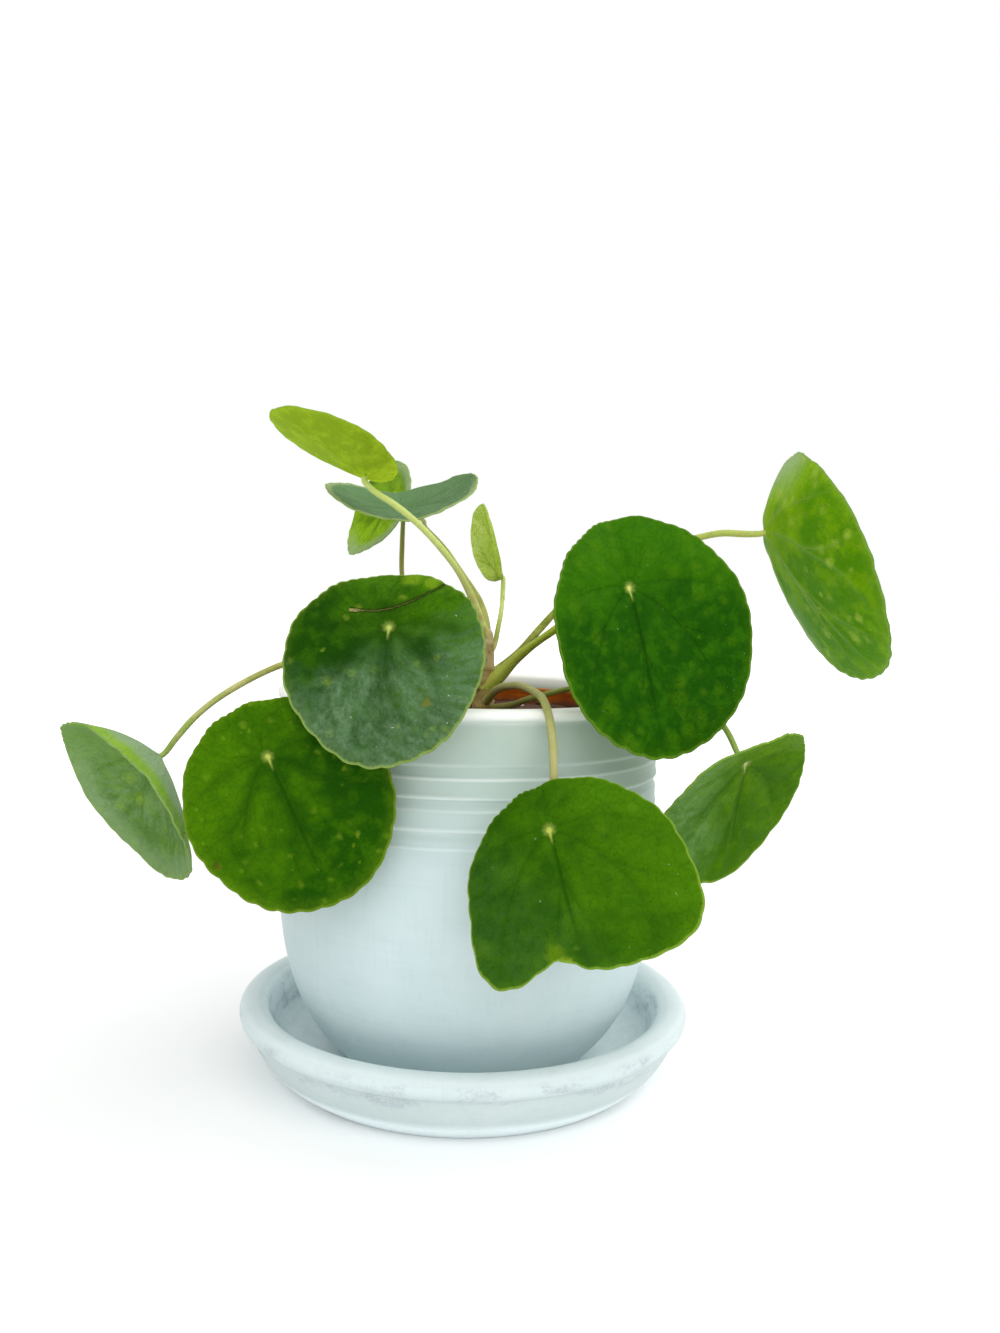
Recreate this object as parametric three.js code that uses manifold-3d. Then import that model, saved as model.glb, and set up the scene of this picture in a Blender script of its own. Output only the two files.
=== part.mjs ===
// A pilea in a white-painted pot on its saucer: saucer, cover pot, nursery pot, soil,
// a short trunk, and eleven round leaves, each a thin blade on a long stalk of its own.
// Millimetres, +Z up. The origin is the centre of the saucer's underside, and the plant
// faces -Y.

import * as THREE from 'three';
import { mergeVertices } from 'three/addons/utils/BufferGeometryUtils.js';
import Module from 'manifold-3d';

const wasm = await Module();
wasm.setup();

// Clearance between neighbours that touch on the real plant.
const SEAT_GAP = 0.3;

// Pots. The saucer is 150 mm across and every other size follows from the same picture.
const TURNED_SIDES = 36;
const SAUCER_FOOT_RADIUS = 59.7;
const SAUCER_BEAD_RADIUS = 76;
const SAUCER_BEAD_FOOT = 16.6;
const SAUCER_BEAD_TOP = 23.6;
const SAUCER_MOUTH_RADIUS = 66;
const SAUCER_FLOOR = 5;
const POT_FOOT = SAUCER_FLOOR + SEAT_GAP;
const POT_UNDERSIDE = 7.6;
const POT_FOOT_RING = [38, 41.4];
const POT_BELLY_TOP = 56;
const POT_RADIUS = 62.2;
const POT_WALL = 3.8;
const POT_FLOOR = 11.5;
const RIM_TOP = 127.2;
const LIP_HEIGHT = 2.8;
const LIP_OVERHANG = 1.2;
const GROOVE_DEPTH = 0.6;
const GROOVE_EDGE = 0.7;
const GROOVES = [[86.5, 91.5], [97.5, 101], [107, 110.6]];
const DRAIN_RADIUS = 7;

const NURSERY_FLOOR = POT_FLOOR + SEAT_GAP;
const NURSERY_TOP = 122.4;
const NURSERY_WALL = 1.1;
const NURSERY_BASE_RADIUS = 38;
const NURSERY_NECK_RADIUS = 56.3;
const NURSERY_LIP_RADIUS = 58;
const NURSERY_LIP_HEIGHT = 6;
const NURSERY_DRAIN_RADIUS = 5;

const SOIL_TOP = 117;
const SOIL_LUMP = 0.8;
const SOIL_OUTER_RING = 46;
const SOIL_RING_STEP = 8;

// The trunk stands a little right of the middle and leans slightly.
const TRUNK_FOOT = 96;
const TRUNK_TOP = 147;
const TRUNK_X = 4.2;
const TRUNK_LEAN = 0.045;
const TRUNK_LEAN_FROM = 121;
const TRUNK_FOOT_RADIUS = 3.8;
const TRUNK_TIP_RADIUS = 1.5;
const TRUNK_SIDES = 10;
const TRUNK_STEPS = 20;
const SCAR_SPACING = 4.2;
const SCAR_LENGTH = 1.1;
const SCAR_RAISE = 0.3;
const SPIRAL_TURN = THREE.MathUtils.degToRad(137.5);

// Blades: points round the outline and rings from the stalk to the rim.
const BLADE_THICKNESS = 0.8;
const BLADE_SPOKES = 36;
const BLADE_RINGS = 4;
const RIM_SCALLOPS = 9;
const RIM_SCALLOP_SIZE = 0.25;
const RIM_WAVE_SIZE = 0.4;

const STALK_SIDES = 7;

// Each leaf: `at` is where the stalk meets the blade's upper face. `turn` is the compass
// direction that the upper face looks to (0 the front, 90 the right), `tilt` how far it
// is tipped from looking straight up, and `roll` turns the tip round the face, all in
// degrees. `half` holds half the width and half the length, and `centre` the outline's
// centre seen from the stalk. `cup`, `crown`, `fold`, `tip` and `base` are heights in mm
// that shape the face, and each dent is [degrees, spread, depth] in the rim. `root` is
// the height at which the stalk leaves the trunk, `via` the points it passes, `stalk`
// its diameters at both ends, and `neck` the length that stands square to the blade.
const LEAVES = [
  {
    name: '01', colour: 0x9cbc2e,
    at: [-37, 10, 197.5], turn: 134, tilt: 26, roll: 168,
    half: [21.2, 23.2], centre: [2.5, 13.8],
    cup: 4, crown: 0.5, fold: 1.5, tip: 0.5, base: -0.5, dents: [],
    root: 143.5, stalk: [3, 2.2], neck: 1.2,
    via: [[-0.7, -3, 158], [-5.1, -4, 166], [-11.2, -4, 173.7], [-18.5, -2, 181],
      [-26.6, 2, 187.3], [-34, 6.5, 192]],
  },
  {
    name: '02', colour: 0x3c6e2c,
    at: [-23.5, -62, 150], turn: -8, tilt: 60, roll: 1,
    half: [28, 29.5], centre: [-0.5, 11],
    cup: -0.8, crown: 0.6, fold: 6.5, tip: -5, base: -2.2, dents: [],
    root: 136.5, stalk: [2.8, 2.2], neck: 2.6,
    via: [[-2, -12, 140], [-9, -28, 142], [-17, -45, 142.5]],
  },
  {
    name: '03', colour: 0x6f9a4a,
    at: [-95, -35, 107], turn: -47, tilt: 119, roll: 0,
    half: [28, 29.5], centre: [4, 7.5],
    cup: 14, crown: 1.5, fold: 0, tip: -0.5, base: 1.5, dents: [],
    root: 131.5, stalk: [2.8, 2], neck: 2,
    via: [[-8, -4, 137], [-24, -9, 140.5], [-41, -15, 140], [-58.8, -21, 135.6],
      [-75, -28, 127.2], [-84.1, -31, 119.9], [-90, -33, 112.8]],
  },
  {
    name: '04', colour: 0x3f8212,
    at: [-56.5, -66, 113], turn: -4, tilt: 93, roll: 25,
    half: [30.3, 31], centre: [0.5, 15],
    cup: 1.5, crown: 0.8, fold: -2, tip: 0, base: -0.5, dents: [],
    root: 126.5, stalk: [2.8, 2.1], neck: 2.6,
    via: [[-5, -9, 131], [-20, -25, 135], [-37, -42, 134.5], [-48, -52, 128],
      [-54, -58, 119]],
  },
  {
    name: '05', colour: 0x35720f,
    at: [45, -55.5, 162.5], turn: 25, tilt: 76, roll: 7,
    half: [33, 35.5], centre: [-3.5, 14.5],
    cup: 1.5, crown: 0.8, fold: 3, tip: -2.5, base: -3, dents: [],
    root: 127.5, stalk: [5.2, 2.5], neck: 2.6,
    via: [[8.8, -2, 131], [15.2, -8, 138.4], [26.2, -25, 148.7], [36, -42, 157]],
  },
  {
    name: '06', colour: 0x3f7d12,
    at: [22, -80.5, 97], turn: -12, tilt: 64, roll: 19,
    half: [30.3, 30.7], centre: [-4, 17],
    cup: -2.5, crown: 0.8, fold: -1, tip: 1, base: 1,
    dents: [[11, 12, -6], [-6, 24, -8], [-47, 15, 3], [36, 15, 5]],
    root: 121.5, stalk: [2.7, 2.4], neck: 2.6,
    via: [[8.2, -12, 127.7], [11.6, -25, 130.4], [14.7, -34, 131.5], [17.1, -42, 131.4],
      [19.3, -50, 130.8], [21, -58, 129.6], [22.3, -64, 125.5], [23.2, -67.5, 119],
      [23.6, -70, 110], [23.8, -72, 101]],
  },
  {
    name: '07', colour: 0x6ca524,
    at: [97.5, -0.5, 181.5], turn: 98, tilt: 72, roll: -25,
    half: [36, 39], centre: [0.5, 18.5],
    cup: 14, crown: 1, fold: -2.5, tip: 1.5, base: 1.5, dents: [],
    root: 130.5, stalk: [3.3, 2.3], neck: 1.5,
    via: [[8.8, 4.6, 132.8], [15.3, 6.5, 138], [23.4, 9, 147.3], [32, 11, 156.4], [50, 11.5, 169],
      [64, 10, 175.5], [75.6, 8, 179.1], [83.4, 5, 180.8], [90.8, 2, 180.6]],
  },
  {
    name: '08', colour: 0x4f8538,
    at: [82, -50.5, 111], turn: 38, tilt: 122, roll: 17,
    half: [27.8, 29.2], centre: [3, 13],
    cup: 4.5, crown: 0.5, fold: -3, tip: 3, base: 2, dents: [],
    root: 119.8, stalk: [2.4, 1.8], neck: 2,
    via: [[13.4, -4, 122], [19.1, -10, 124.8], [31.3, -19, 129.3], [46, -26, 132.2],
      [60, -32, 131.5], [70, -37, 127.5], [76.9, -42, 120.8]],
  },
  {
    name: '09', colour: 0x64875f,
    at: [-27, 52, 189], turn: -13, tilt: 16, roll: 20,
    half: [27.4, 29.2], centre: [0.3, 10.9],
    cup: 5.2, crown: 0.3, fold: 6.5, tip: -1, base: -3.2, dents: [],
    root: 132.5, stalk: [2.6, 1.8], neck: 2.6,
    via: [[-4, 14, 138], [-15, 31, 144], [-24, 45, 153], [-26.7, 50.5, 164],
      [-26.9, 51.7, 176]],
  },
  {
    name: '10', colour: 0x6fa024,
    at: [-36.8, 95, 191.5], turn: -54, tilt: 68, roll: 13,
    half: [19.3, 21.8], centre: [-0.4, 3],
    cup: 4.7, crown: 0.3, fold: -2.6, tip: 2.6, base: -1.5, dents: [],
    root: 140.5, stalk: [2.4, 1.7], neck: 2.6,
    via: [[5, 5, 147.5], [2.8, 11, 155], [-3.8, 23, 164.8], [-9.3, 34, 172.4],
      [-13.4, 41, 176.9], [-18.2, 52, 181.5], [-20, 70, 185], [-25.5, 87, 187.5]],
  },
  {
    name: '11', colour: 0xa9c24a,
    at: [9, 10.1, 164.1], turn: -72, tilt: 99, roll: 182,
    half: [11, 13], centre: [0, 12.4],
    cup: 3, crown: 0, fold: 2, tip: 0, base: -0.5, dents: [],
    root: 137.5, stalk: [2.3, 1.6], neck: 0.4,
    via: [[7.5, 3.5, 141.5], [8.7, 5, 147], [9.7, 7, 153], [10.1, 9.2, 158.5]],
  },
];

// The long tear across the second leaf, from the rim inwards, in that blade's own plane.
const TORN_LEAF = '02';
const TEAR_WIDTH = 1;
const TEAR_HALF_DEPTH = 14;
const TEAR_LINE = [[-18, -16], [-9, -9.5], [0, -5.7], [10.4, -4.1]];

const WHITE_PAINT = { color: 0xdfe6e2, roughness: 0.55, metalness: 0 };
const TERRACOTTA = { color: 0x9a4a26, roughness: 0.7, metalness: 0 };
const SOIL_BROWN = { color: 0x3a2618, roughness: 0.95, metalness: 0 };
const BARK = { color: 0x8a7048, roughness: 0.8, metalness: 0 };
const STALK_GREEN = { color: 0x9aa45a, roughness: 0.5, metalness: 0 };
const BLADE_ROUGHNESS = 0.4;

const part = new THREE.Group();

function addPiece(name, geometry, finish) {
  const mesh = new THREE.Mesh(geometry, new THREE.MeshStandardMaterial(finish));
  mesh.name = name;
  part.add(mesh);
  return mesh;
}

// A closed body from a list of positions and triangles.
function bodyFrom(positions, triangles) {
  const geometry = new THREE.BufferGeometry();
  geometry.setAttribute('position', new THREE.Float32BufferAttribute(positions, 3));
  geometry.setIndex(triangles);
  return geometry;
}

function toSolid(geometry) {
  const shared = geometry.clone();
  shared.deleteAttribute('normal');
  shared.deleteAttribute('uv');
  const merged = mergeVertices(shared);
  return new wasm.Manifold(new wasm.Mesh({
    numProp: 3,
    vertProperties: new Float32Array(merged.attributes.position.array),
    triVerts: new Uint32Array(merged.index.array),
  }));
}

// What is left of one body after another is cut out of it.
function cutAway(geometry, tool) {
  const mesh = toSolid(geometry).subtract(toSolid(tool)).getMesh();
  return bodyFrom(Array.from(mesh.vertProperties), Array.from(mesh.triVerts));
}

// A profile of radius and height, turned round the Z axis.
function turnedBody(points) {
  const geometry = new THREE.LatheGeometry(points, TURNED_SIDES);
  geometry.rotateX(Math.PI / 2);
  return geometry;
}

// A round body along a curve, with both ends closed.
function tubeAlong(curve, steps, sides, radiusAt) {
  const frames = curve.computeFrenetFrames(steps, false);
  const positions = [];
  const triangles = [];
  for (let i = 0; i <= steps; i += 1) {
    const point = curve.getPointAt(i / steps);
    for (let j = 0; j < sides; j += 1) {
      const angle = (j / sides) * Math.PI * 2;
      const radius = radiusAt(i / steps, angle);
      const offset = frames.normals[i].clone().multiplyScalar(Math.cos(angle) * radius);
      offset.addScaledVector(frames.binormals[i], Math.sin(angle) * radius);
      positions.push(...point.clone().add(offset).toArray());
    }
  }
  const start = positions.length / 3;
  positions.push(...curve.getPointAt(0).toArray(), ...curve.getPointAt(1).toArray());
  const lastRing = steps * sides;
  for (let j = 0; j < sides; j += 1) {
    const next = (j + 1) % sides;
    for (let i = 0; i < steps; i += 1) {
      const a = i * sides + j;
      const b = i * sides + next;
      triangles.push(a, b, a + sides, b, b + sides, a + sides);
    }
    triangles.push(start, next, j, start + 1, lastRing + j, lastRing + next);
  }
  return bodyFrom(positions, triangles);
}

// Saucer: a flat dish with a flaring side and a rounded bead for a rim.
function saucerBody() {
  const profile = new THREE.Path();
  const sideTop = SAUCER_BEAD_RADIUS - 3.8;
  profile.moveTo(0, 0);
  profile.lineTo(SAUCER_FOOT_RADIUS, 0);
  profile.lineTo(SAUCER_FOOT_RADIUS + 0.9, 0.8);
  profile.quadraticCurveTo(69.5, 6.5, sideTop, SAUCER_BEAD_FOOT);
  profile.bezierCurveTo(
    SAUCER_BEAD_RADIUS, SAUCER_BEAD_FOOT + 1, SAUCER_BEAD_RADIUS, SAUCER_BEAD_TOP - 1,
    sideTop, SAUCER_BEAD_TOP,
  );
  profile.quadraticCurveTo(68.5, SAUCER_BEAD_TOP + 1.2, SAUCER_MOUTH_RADIUS, SAUCER_BEAD_TOP - 1.6);
  profile.quadraticCurveTo(63.6, 18, 62.6, 14);
  profile.quadraticCurveTo(60, 7, 50, SAUCER_FLOOR);
  profile.lineTo(0, SAUCER_FLOOR);
  return turnedBody(profile.getPoints(4));
}

// Cover pot: a foot ring, a belly that rises into a straight wall with three turned
// grooves, and a small lip. The drain hole is in the middle of the floor.
function coverPotBody() {
  const inner = POT_RADIUS - POT_WALL;
  const lipFoot = RIM_TOP - LIP_HEIGHT;
  const lipRadius = POT_RADIUS + LIP_OVERHANG;
  const [ringInner, ringOuter] = POT_FOOT_RING;
  const profile = new THREE.Path();
  profile.moveTo(DRAIN_RADIUS, POT_UNDERSIDE);
  profile.lineTo(ringInner - 1.5, POT_UNDERSIDE);
  profile.lineTo(ringInner, POT_FOOT);
  profile.lineTo(ringOuter, POT_FOOT);
  profile.lineTo(ringOuter + 2, POT_UNDERSIDE + 1);
  profile.bezierCurveTo(52, 16, 60.5, 30, POT_RADIUS, POT_BELLY_TOP);
  for (const [low, high] of GROOVES) {
    profile.lineTo(POT_RADIUS, low);
    profile.lineTo(POT_RADIUS - GROOVE_DEPTH, low + GROOVE_EDGE);
    profile.lineTo(POT_RADIUS - GROOVE_DEPTH, high - GROOVE_EDGE);
    profile.lineTo(POT_RADIUS, high);
  }
  profile.lineTo(POT_RADIUS, lipFoot - 0.6);
  profile.quadraticCurveTo(lipRadius + 0.2, lipFoot, lipRadius, RIM_TOP - 1.2);
  profile.quadraticCurveTo(lipRadius - 0.4, RIM_TOP, lipRadius - 2, RIM_TOP);
  profile.lineTo(inner + 1.4, RIM_TOP);
  profile.quadraticCurveTo(inner + 0.2, RIM_TOP, inner, RIM_TOP - 1.6);
  profile.lineTo(inner, POT_BELLY_TOP);
  profile.bezierCurveTo(57, 32, 50, 20, ringOuter + 0.6, POT_FLOOR + 1);
  profile.lineTo(ringOuter - 2.4, POT_FLOOR);
  profile.lineTo(DRAIN_RADIUS, POT_FLOOR);
  profile.lineTo(DRAIN_RADIUS, POT_UNDERSIDE);
  return turnedBody(profile.getPoints(4));
}

// Nursery pot: a thin tapered wall with an upright band and a narrow lip at its top.
function nurseryPotBody() {
  const bandFoot = NURSERY_TOP - NURSERY_LIP_HEIGHT;
  const floorTop = NURSERY_FLOOR + NURSERY_WALL;
  const points = [
    [NURSERY_DRAIN_RADIUS, NURSERY_FLOOR],
    [NURSERY_BASE_RADIUS, NURSERY_FLOOR],
    [NURSERY_NECK_RADIUS, bandFoot],
    [NURSERY_LIP_RADIUS - 0.5, bandFoot + 0.5],
    [NURSERY_LIP_RADIUS - 0.5, NURSERY_TOP - 1.8],
    [NURSERY_LIP_RADIUS, NURSERY_TOP - 1.3],
    [NURSERY_LIP_RADIUS, NURSERY_TOP - 0.5],
    [NURSERY_LIP_RADIUS - 0.5, NURSERY_TOP],
    [NURSERY_LIP_RADIUS - 1.4, NURSERY_TOP],
    [NURSERY_LIP_RADIUS - 1.8, NURSERY_TOP - 0.7],
    [NURSERY_LIP_RADIUS - 1.8, bandFoot + 1.6],
    [NURSERY_NECK_RADIUS - NURSERY_WALL, bandFoot],
    [NURSERY_BASE_RADIUS - NURSERY_WALL, floorTop],
    [NURSERY_DRAIN_RADIUS, floorTop],
    [NURSERY_DRAIN_RADIUS, NURSERY_FLOOR],
  ];
  return turnedBody(points.map(([r, z]) => new THREE.Vector2(r, z)));
}

// Soil: fills the nursery pot and ends in a lumpy surface. The inner rings of the
// surface rise and fall, and the outer one stays level against the wall.
function soilBody() {
  const floor = NURSERY_FLOOR + NURSERY_WALL + SEAT_GAP;
  const slope = (NURSERY_NECK_RADIUS - NURSERY_BASE_RADIUS)
    / (NURSERY_TOP - NURSERY_LIP_HEIGHT - NURSERY_FLOOR);
  const side = NURSERY_BASE_RADIUS - NURSERY_WALL - SEAT_GAP;
  const wallRadius = (z) => side + (z - floor) * slope;
  const edge = wallRadius(SOIL_TOP - 3);
  const points = [
    [0, floor],
    [wallRadius(floor), floor],
    [edge, SOIL_TOP - 3],
    [edge - 0.4, SOIL_TOP - 0.4],
  ];
  for (let r = SOIL_OUTER_RING; r > 0; r -= SOIL_RING_STEP) {
    points.push([r, SOIL_TOP]);
  }
  points.push([0, SOIL_TOP]);
  const body = turnedBody(points.map(([r, z]) => new THREE.Vector2(r, z)));
  const position = body.attributes.position;
  for (let i = 0; i < position.count; i += 1) {
    const x = position.getX(i);
    const y = position.getY(i);
    if (position.getZ(i) > SOIL_TOP - 0.1) {
      const lump = Math.sin(x * 0.42 + 1) * Math.cos(y * 0.36) + Math.sin(x * 0.2 - y * 0.27);
      position.setZ(i, SOIL_TOP + (SOIL_LUMP / 2) * lump);
    }
  }
  return body;
}

function trunkAxis(z) {
  const lean = Math.max(z - TRUNK_LEAN_FROM, 0) * TRUNK_LEAN;
  return new THREE.Vector3(TRUNK_X + lean, 0, z);
}

// Trunk: a tapering stem with a raised scar below each leaf, in a spiral. `grow` adds
// the clearance for what is cut to fit round it.
function trunkBody(grow) {
  const heights = [TRUNK_FOOT - grow, TRUNK_LEAN_FROM, TRUNK_TOP + grow];
  const curve = new THREE.CatmullRomCurve3(heights.map(trunkAxis), false, 'centripetal');
  const length = TRUNK_TOP - TRUNK_FOOT;
  const radiusAt = (t, angle) => {
    let radius = THREE.MathUtils.lerp(TRUNK_FOOT_RADIUS, TRUNK_TIP_RADIUS, t ** 3);
    for (let i = 5; i * SCAR_SPACING < length - 3; i += 1) {
      const away = (t * length - i * SCAR_SPACING) / SCAR_LENGTH;
      const facing = 0.5 + 0.5 * Math.cos(angle - i * SPIRAL_TURN);
      radius += SCAR_RAISE * Math.exp(-away * away) * facing;
    }
    return radius + grow;
  };
  return tubeAlong(curve, TRUNK_STEPS, TRUNK_SIDES, radiusAt);
}

// The axes of a blade: sideways, towards the tip, and out of the upper face.
function bladeAxes({ turn, tilt, roll }) {
  const [a, t, r] = [turn, tilt, roll].map(THREE.MathUtils.degToRad);
  const normal = new THREE.Vector3(
    Math.sin(t) * Math.sin(a), -Math.sin(t) * Math.cos(a), Math.cos(t),
  );
  const down = new THREE.Vector3(
    Math.cos(t) * Math.sin(a), -Math.cos(t) * Math.cos(a), -Math.sin(t),
  );
  const across = new THREE.Vector3().crossVectors(normal, down);
  const tip = down.multiplyScalar(Math.cos(r)).addScaledVector(across, Math.sin(r));
  const side = new THREE.Vector3().crossVectors(tip, normal);
  return { side, tip, normal };
}

// Distance from the stalk to the rim: an ellipse seen from a point inside it, with
// shallow scallops and the leaf's own dents.
function rimDistance(leaf, angle) {
  const [a, b] = leaf.half;
  const [cx, cy] = leaf.centre;
  const s = Math.sin(angle);
  const c = Math.cos(angle);
  const p = (s / a) ** 2 + (c / b) ** 2;
  const q = (s * cx) / a ** 2 + (c * cy) / b ** 2;
  const k = (cx / a) ** 2 + (cy / b) ** 2 - 1;
  let distance = (q + Math.sqrt(q * q - p * k)) / p;
  distance += RIM_SCALLOP_SIZE * Math.cos(RIM_SCALLOPS * angle + leaf.turn);
  for (const [direction, spread, depth] of leaf.dents) {
    const off = THREE.MathUtils.radToDeg(angle) - direction;
    const away = ((off + 540) % 360) - 180;
    distance += depth * Math.exp(-((away / spread) ** 2));
  }
  return distance;
}

// Height of the upper face, `u` being 0 at the stalk and 1 at the rim.
function faceHeight(leaf, x, y, u, angle) {
  const [a, b] = leaf.half;
  const cy = leaf.centre[1];
  let height = leaf.cup * u * u + leaf.crown * 4 * u * (1 - u);
  height += leaf.fold * Math.abs(x / a) ** 1.5;
  height += leaf.tip * (Math.max(y, 0) / (b + cy)) ** 2;
  height += leaf.base * (Math.max(-y, 0) / (b - cy)) ** 2;
  height += RIM_WAVE_SIZE * u ** 3 * Math.cos(5 * angle + leaf.roll);
  return height;
}

// Blade: a thin body in its own plane, with the stalk's place at its origin. Both
// faces are split alike, and the lower one follows the upper one's normals.
function bladeBody(leaf) {
  const upper = [new THREE.Vector3(0, 0, 0)];
  for (let ring = 1; ring <= BLADE_RINGS; ring += 1) {
    const u = ring / BLADE_RINGS;
    for (let i = 0; i < BLADE_SPOKES; i += 1) {
      const angle = (i / BLADE_SPOKES) * Math.PI * 2;
      const reach = u * rimDistance(leaf, angle);
      const x = reach * Math.sin(angle);
      const y = reach * Math.cos(angle);
      upper.push(new THREE.Vector3(x, y, faceHeight(leaf, x, y, u, angle)));
    }
  }
  const triangles = [];
  for (let i = 0; i < BLADE_SPOKES; i += 1) {
    const next = (i + 1) % BLADE_SPOKES;
    triangles.push(0, 1 + next, 1 + i);
    for (let ring = 1; ring < BLADE_RINGS; ring += 1) {
      const inner = 1 + (ring - 1) * BLADE_SPOKES;
      const outer = inner + BLADE_SPOKES;
      triangles.push(inner + i, inner + next, outer + i);
      triangles.push(inner + next, outer + next, outer + i);
    }
  }
  const positions = upper.flatMap((v) => v.toArray());
  const skin = bodyFrom(positions, triangles);
  skin.computeVertexNormals();
  const normals = skin.attributes.normal;
  upper.forEach((v, i) => {
    const n = new THREE.Vector3().fromBufferAttribute(normals, i);
    positions.push(...v.clone().addScaledVector(n, -BLADE_THICKNESS).toArray());
  });
  const count = upper.length;
  const body = triangles.slice();
  for (let i = 0; i < triangles.length; i += 3) {
    body.push(triangles[i] + count, triangles[i + 2] + count, triangles[i + 1] + count);
  }
  const rim = 1 + (BLADE_RINGS - 1) * BLADE_SPOKES;
  for (let i = 0; i < BLADE_SPOKES; i += 1) {
    const a = rim + i;
    const b = rim + ((i + 1) % BLADE_SPOKES);
    body.push(a, b, a + count, b, b + count, a + count);
  }
  return bodyFrom(positions, body);
}

// The tear: a narrow wedge along its line, open at the rim and closed at its inner end.
function tearBody() {
  const line = new THREE.SplineCurve(TEAR_LINE.map(([x, y]) => new THREE.Vector2(x, y)));
  const steps = 6;
  const left = [];
  const right = [];
  for (let i = 0; i < steps; i += 1) {
    const point = line.getPointAt(i / steps);
    const along = line.getTangentAt(i / steps);
    const half = (TEAR_WIDTH / 2) * (1 - i / steps);
    left.push(new THREE.Vector2(point.x - along.y * half, point.y + along.x * half));
    right.unshift(new THREE.Vector2(point.x + along.y * half, point.y - along.x * half));
  }
  const outline = new THREE.Shape([...left, line.getPointAt(1), ...right]);
  const wedge = new THREE.ExtrudeGeometry(outline, {
    depth: TEAR_HALF_DEPTH * 2,
    bevelEnabled: false,
  });
  wedge.translate(0, 0, -TEAR_HALF_DEPTH);
  return wedge;
}

// Stalk: leaves the trunk's middle, passes its points and meets the blade's underside
// squarely. Its foot is then cut to the trunk's surface.
function stalkBody(leaf, grownTrunk) {
  const { normal } = bladeAxes(leaf);
  const at = new THREE.Vector3(...leaf.at);
  const end = at.clone().addScaledVector(normal, -(BLADE_THICKNESS + SEAT_GAP));
  const beforeEnd = end.clone().addScaledVector(normal, -leaf.neck);
  const via = leaf.via.map((p) => new THREE.Vector3(...p));
  const points = [trunkAxis(leaf.root), ...via, beforeEnd, end];
  const curve = new THREE.CatmullRomCurve3(points, false, 'centripetal');
  const [foot, top] = leaf.stalk.map((d) => d / 2);
  const radiusAt = (t) => THREE.MathUtils.lerp(foot, top, Math.min(t * 3, 1));
  const steps = Math.round(8 + curve.getLength() / 8);
  return cutAway(tubeAlong(curve, steps, STALK_SIDES, radiusAt), grownTrunk);
}

addPiece('saucer', saucerBody(), WHITE_PAINT);
addPiece('cover_pot', coverPotBody(), WHITE_PAINT);
addPiece('nursery_pot', nurseryPotBody(), TERRACOTTA);

const grownTrunk = trunkBody(SEAT_GAP);
addPiece('soil', cutAway(soilBody(), grownTrunk), SOIL_BROWN);
addPiece('trunk', trunkBody(0), BARK);

for (const leaf of LEAVES) {
  let body = bladeBody(leaf);
  if (leaf.name === TORN_LEAF) {
    body = cutAway(body, tearBody());
  }
  const finish = { color: leaf.colour, roughness: BLADE_ROUGHNESS, metalness: 0 };
  const blade = addPiece(`blade_${leaf.name}`, body, finish);
  const { side, tip, normal } = bladeAxes(leaf);
  blade.quaternion.setFromRotationMatrix(new THREE.Matrix4().makeBasis(side, tip, normal));
  blade.position.set(...leaf.at);
  addPiece(`stalk_${leaf.name}`, stalkBody(leaf, grownTrunk), STALK_GREEN);
}

export default part;
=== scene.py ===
import math

import bpy
import numpy as np
from mathutils import Matrix, Vector, noise


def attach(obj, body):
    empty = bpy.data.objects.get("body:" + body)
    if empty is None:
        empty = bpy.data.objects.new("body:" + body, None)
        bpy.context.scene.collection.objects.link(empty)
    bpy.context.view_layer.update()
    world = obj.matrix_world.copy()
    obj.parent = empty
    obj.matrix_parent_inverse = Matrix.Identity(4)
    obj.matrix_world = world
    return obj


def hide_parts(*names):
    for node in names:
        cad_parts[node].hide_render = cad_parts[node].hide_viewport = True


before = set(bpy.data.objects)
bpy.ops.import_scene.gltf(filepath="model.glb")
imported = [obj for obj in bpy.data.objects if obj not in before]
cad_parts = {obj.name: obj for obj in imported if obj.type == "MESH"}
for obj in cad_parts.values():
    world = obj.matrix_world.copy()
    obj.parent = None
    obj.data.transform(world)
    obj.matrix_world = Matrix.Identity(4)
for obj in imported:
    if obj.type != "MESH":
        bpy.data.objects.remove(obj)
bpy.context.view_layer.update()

# Camera: at the height of the upper leaves, 400 mm in front of the pot, looking a little
# down and to the right, with its frame turned slightly about the line of sight.
CAMERA_PLACE = (0, -0.4, 0.167)
LOOKS_DOWN = math.radians(4.65)
LOOKS_RIGHT = math.radians(1.37)
FRAME_TURN = math.radians(1.4)
FOCAL_LENGTH_PX = 1200
PHOTO_HEIGHT_PX = 1333
SENSOR_MM = 36

camera_turn = (
    Matrix.Rotation(-LOOKS_RIGHT, 3, "Z")
    @ Matrix.Rotation(math.pi / 2 - LOOKS_DOWN, 3, "X")
    @ Matrix.Rotation(FRAME_TURN, 3, "Z")
)
bpy.ops.object.camera_add(location=CAMERA_PLACE, rotation=camera_turn.to_euler())
camera = bpy.context.object
camera.data.sensor_width = SENSOR_MM
camera.data.lens = FOCAL_LENGTH_PX / PHOTO_HEIGHT_PX * SENSOR_MM
camera.data.clip_start = 0.01
bpy.context.scene.camera = camera
bpy.context.scene.view_settings.view_transform = "Standard"

# Floor: a plain white table top. Away from the pot it glows as bright as the backdrop or
# brighter, so that no horizon shows. Its sizes are in metres.
FLOOR_RADIUS = 6
FLOOR_SIDES = 128
FLOOR_PLACE = (0, 0, -0.0001)
FLOOR_WHITE = (0.95, 0.95, 0.95, 1)
GLOW_FROM = 0.2
GLOW_FULL = 0.8
FLOOR_GLOW = 1.35


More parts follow.
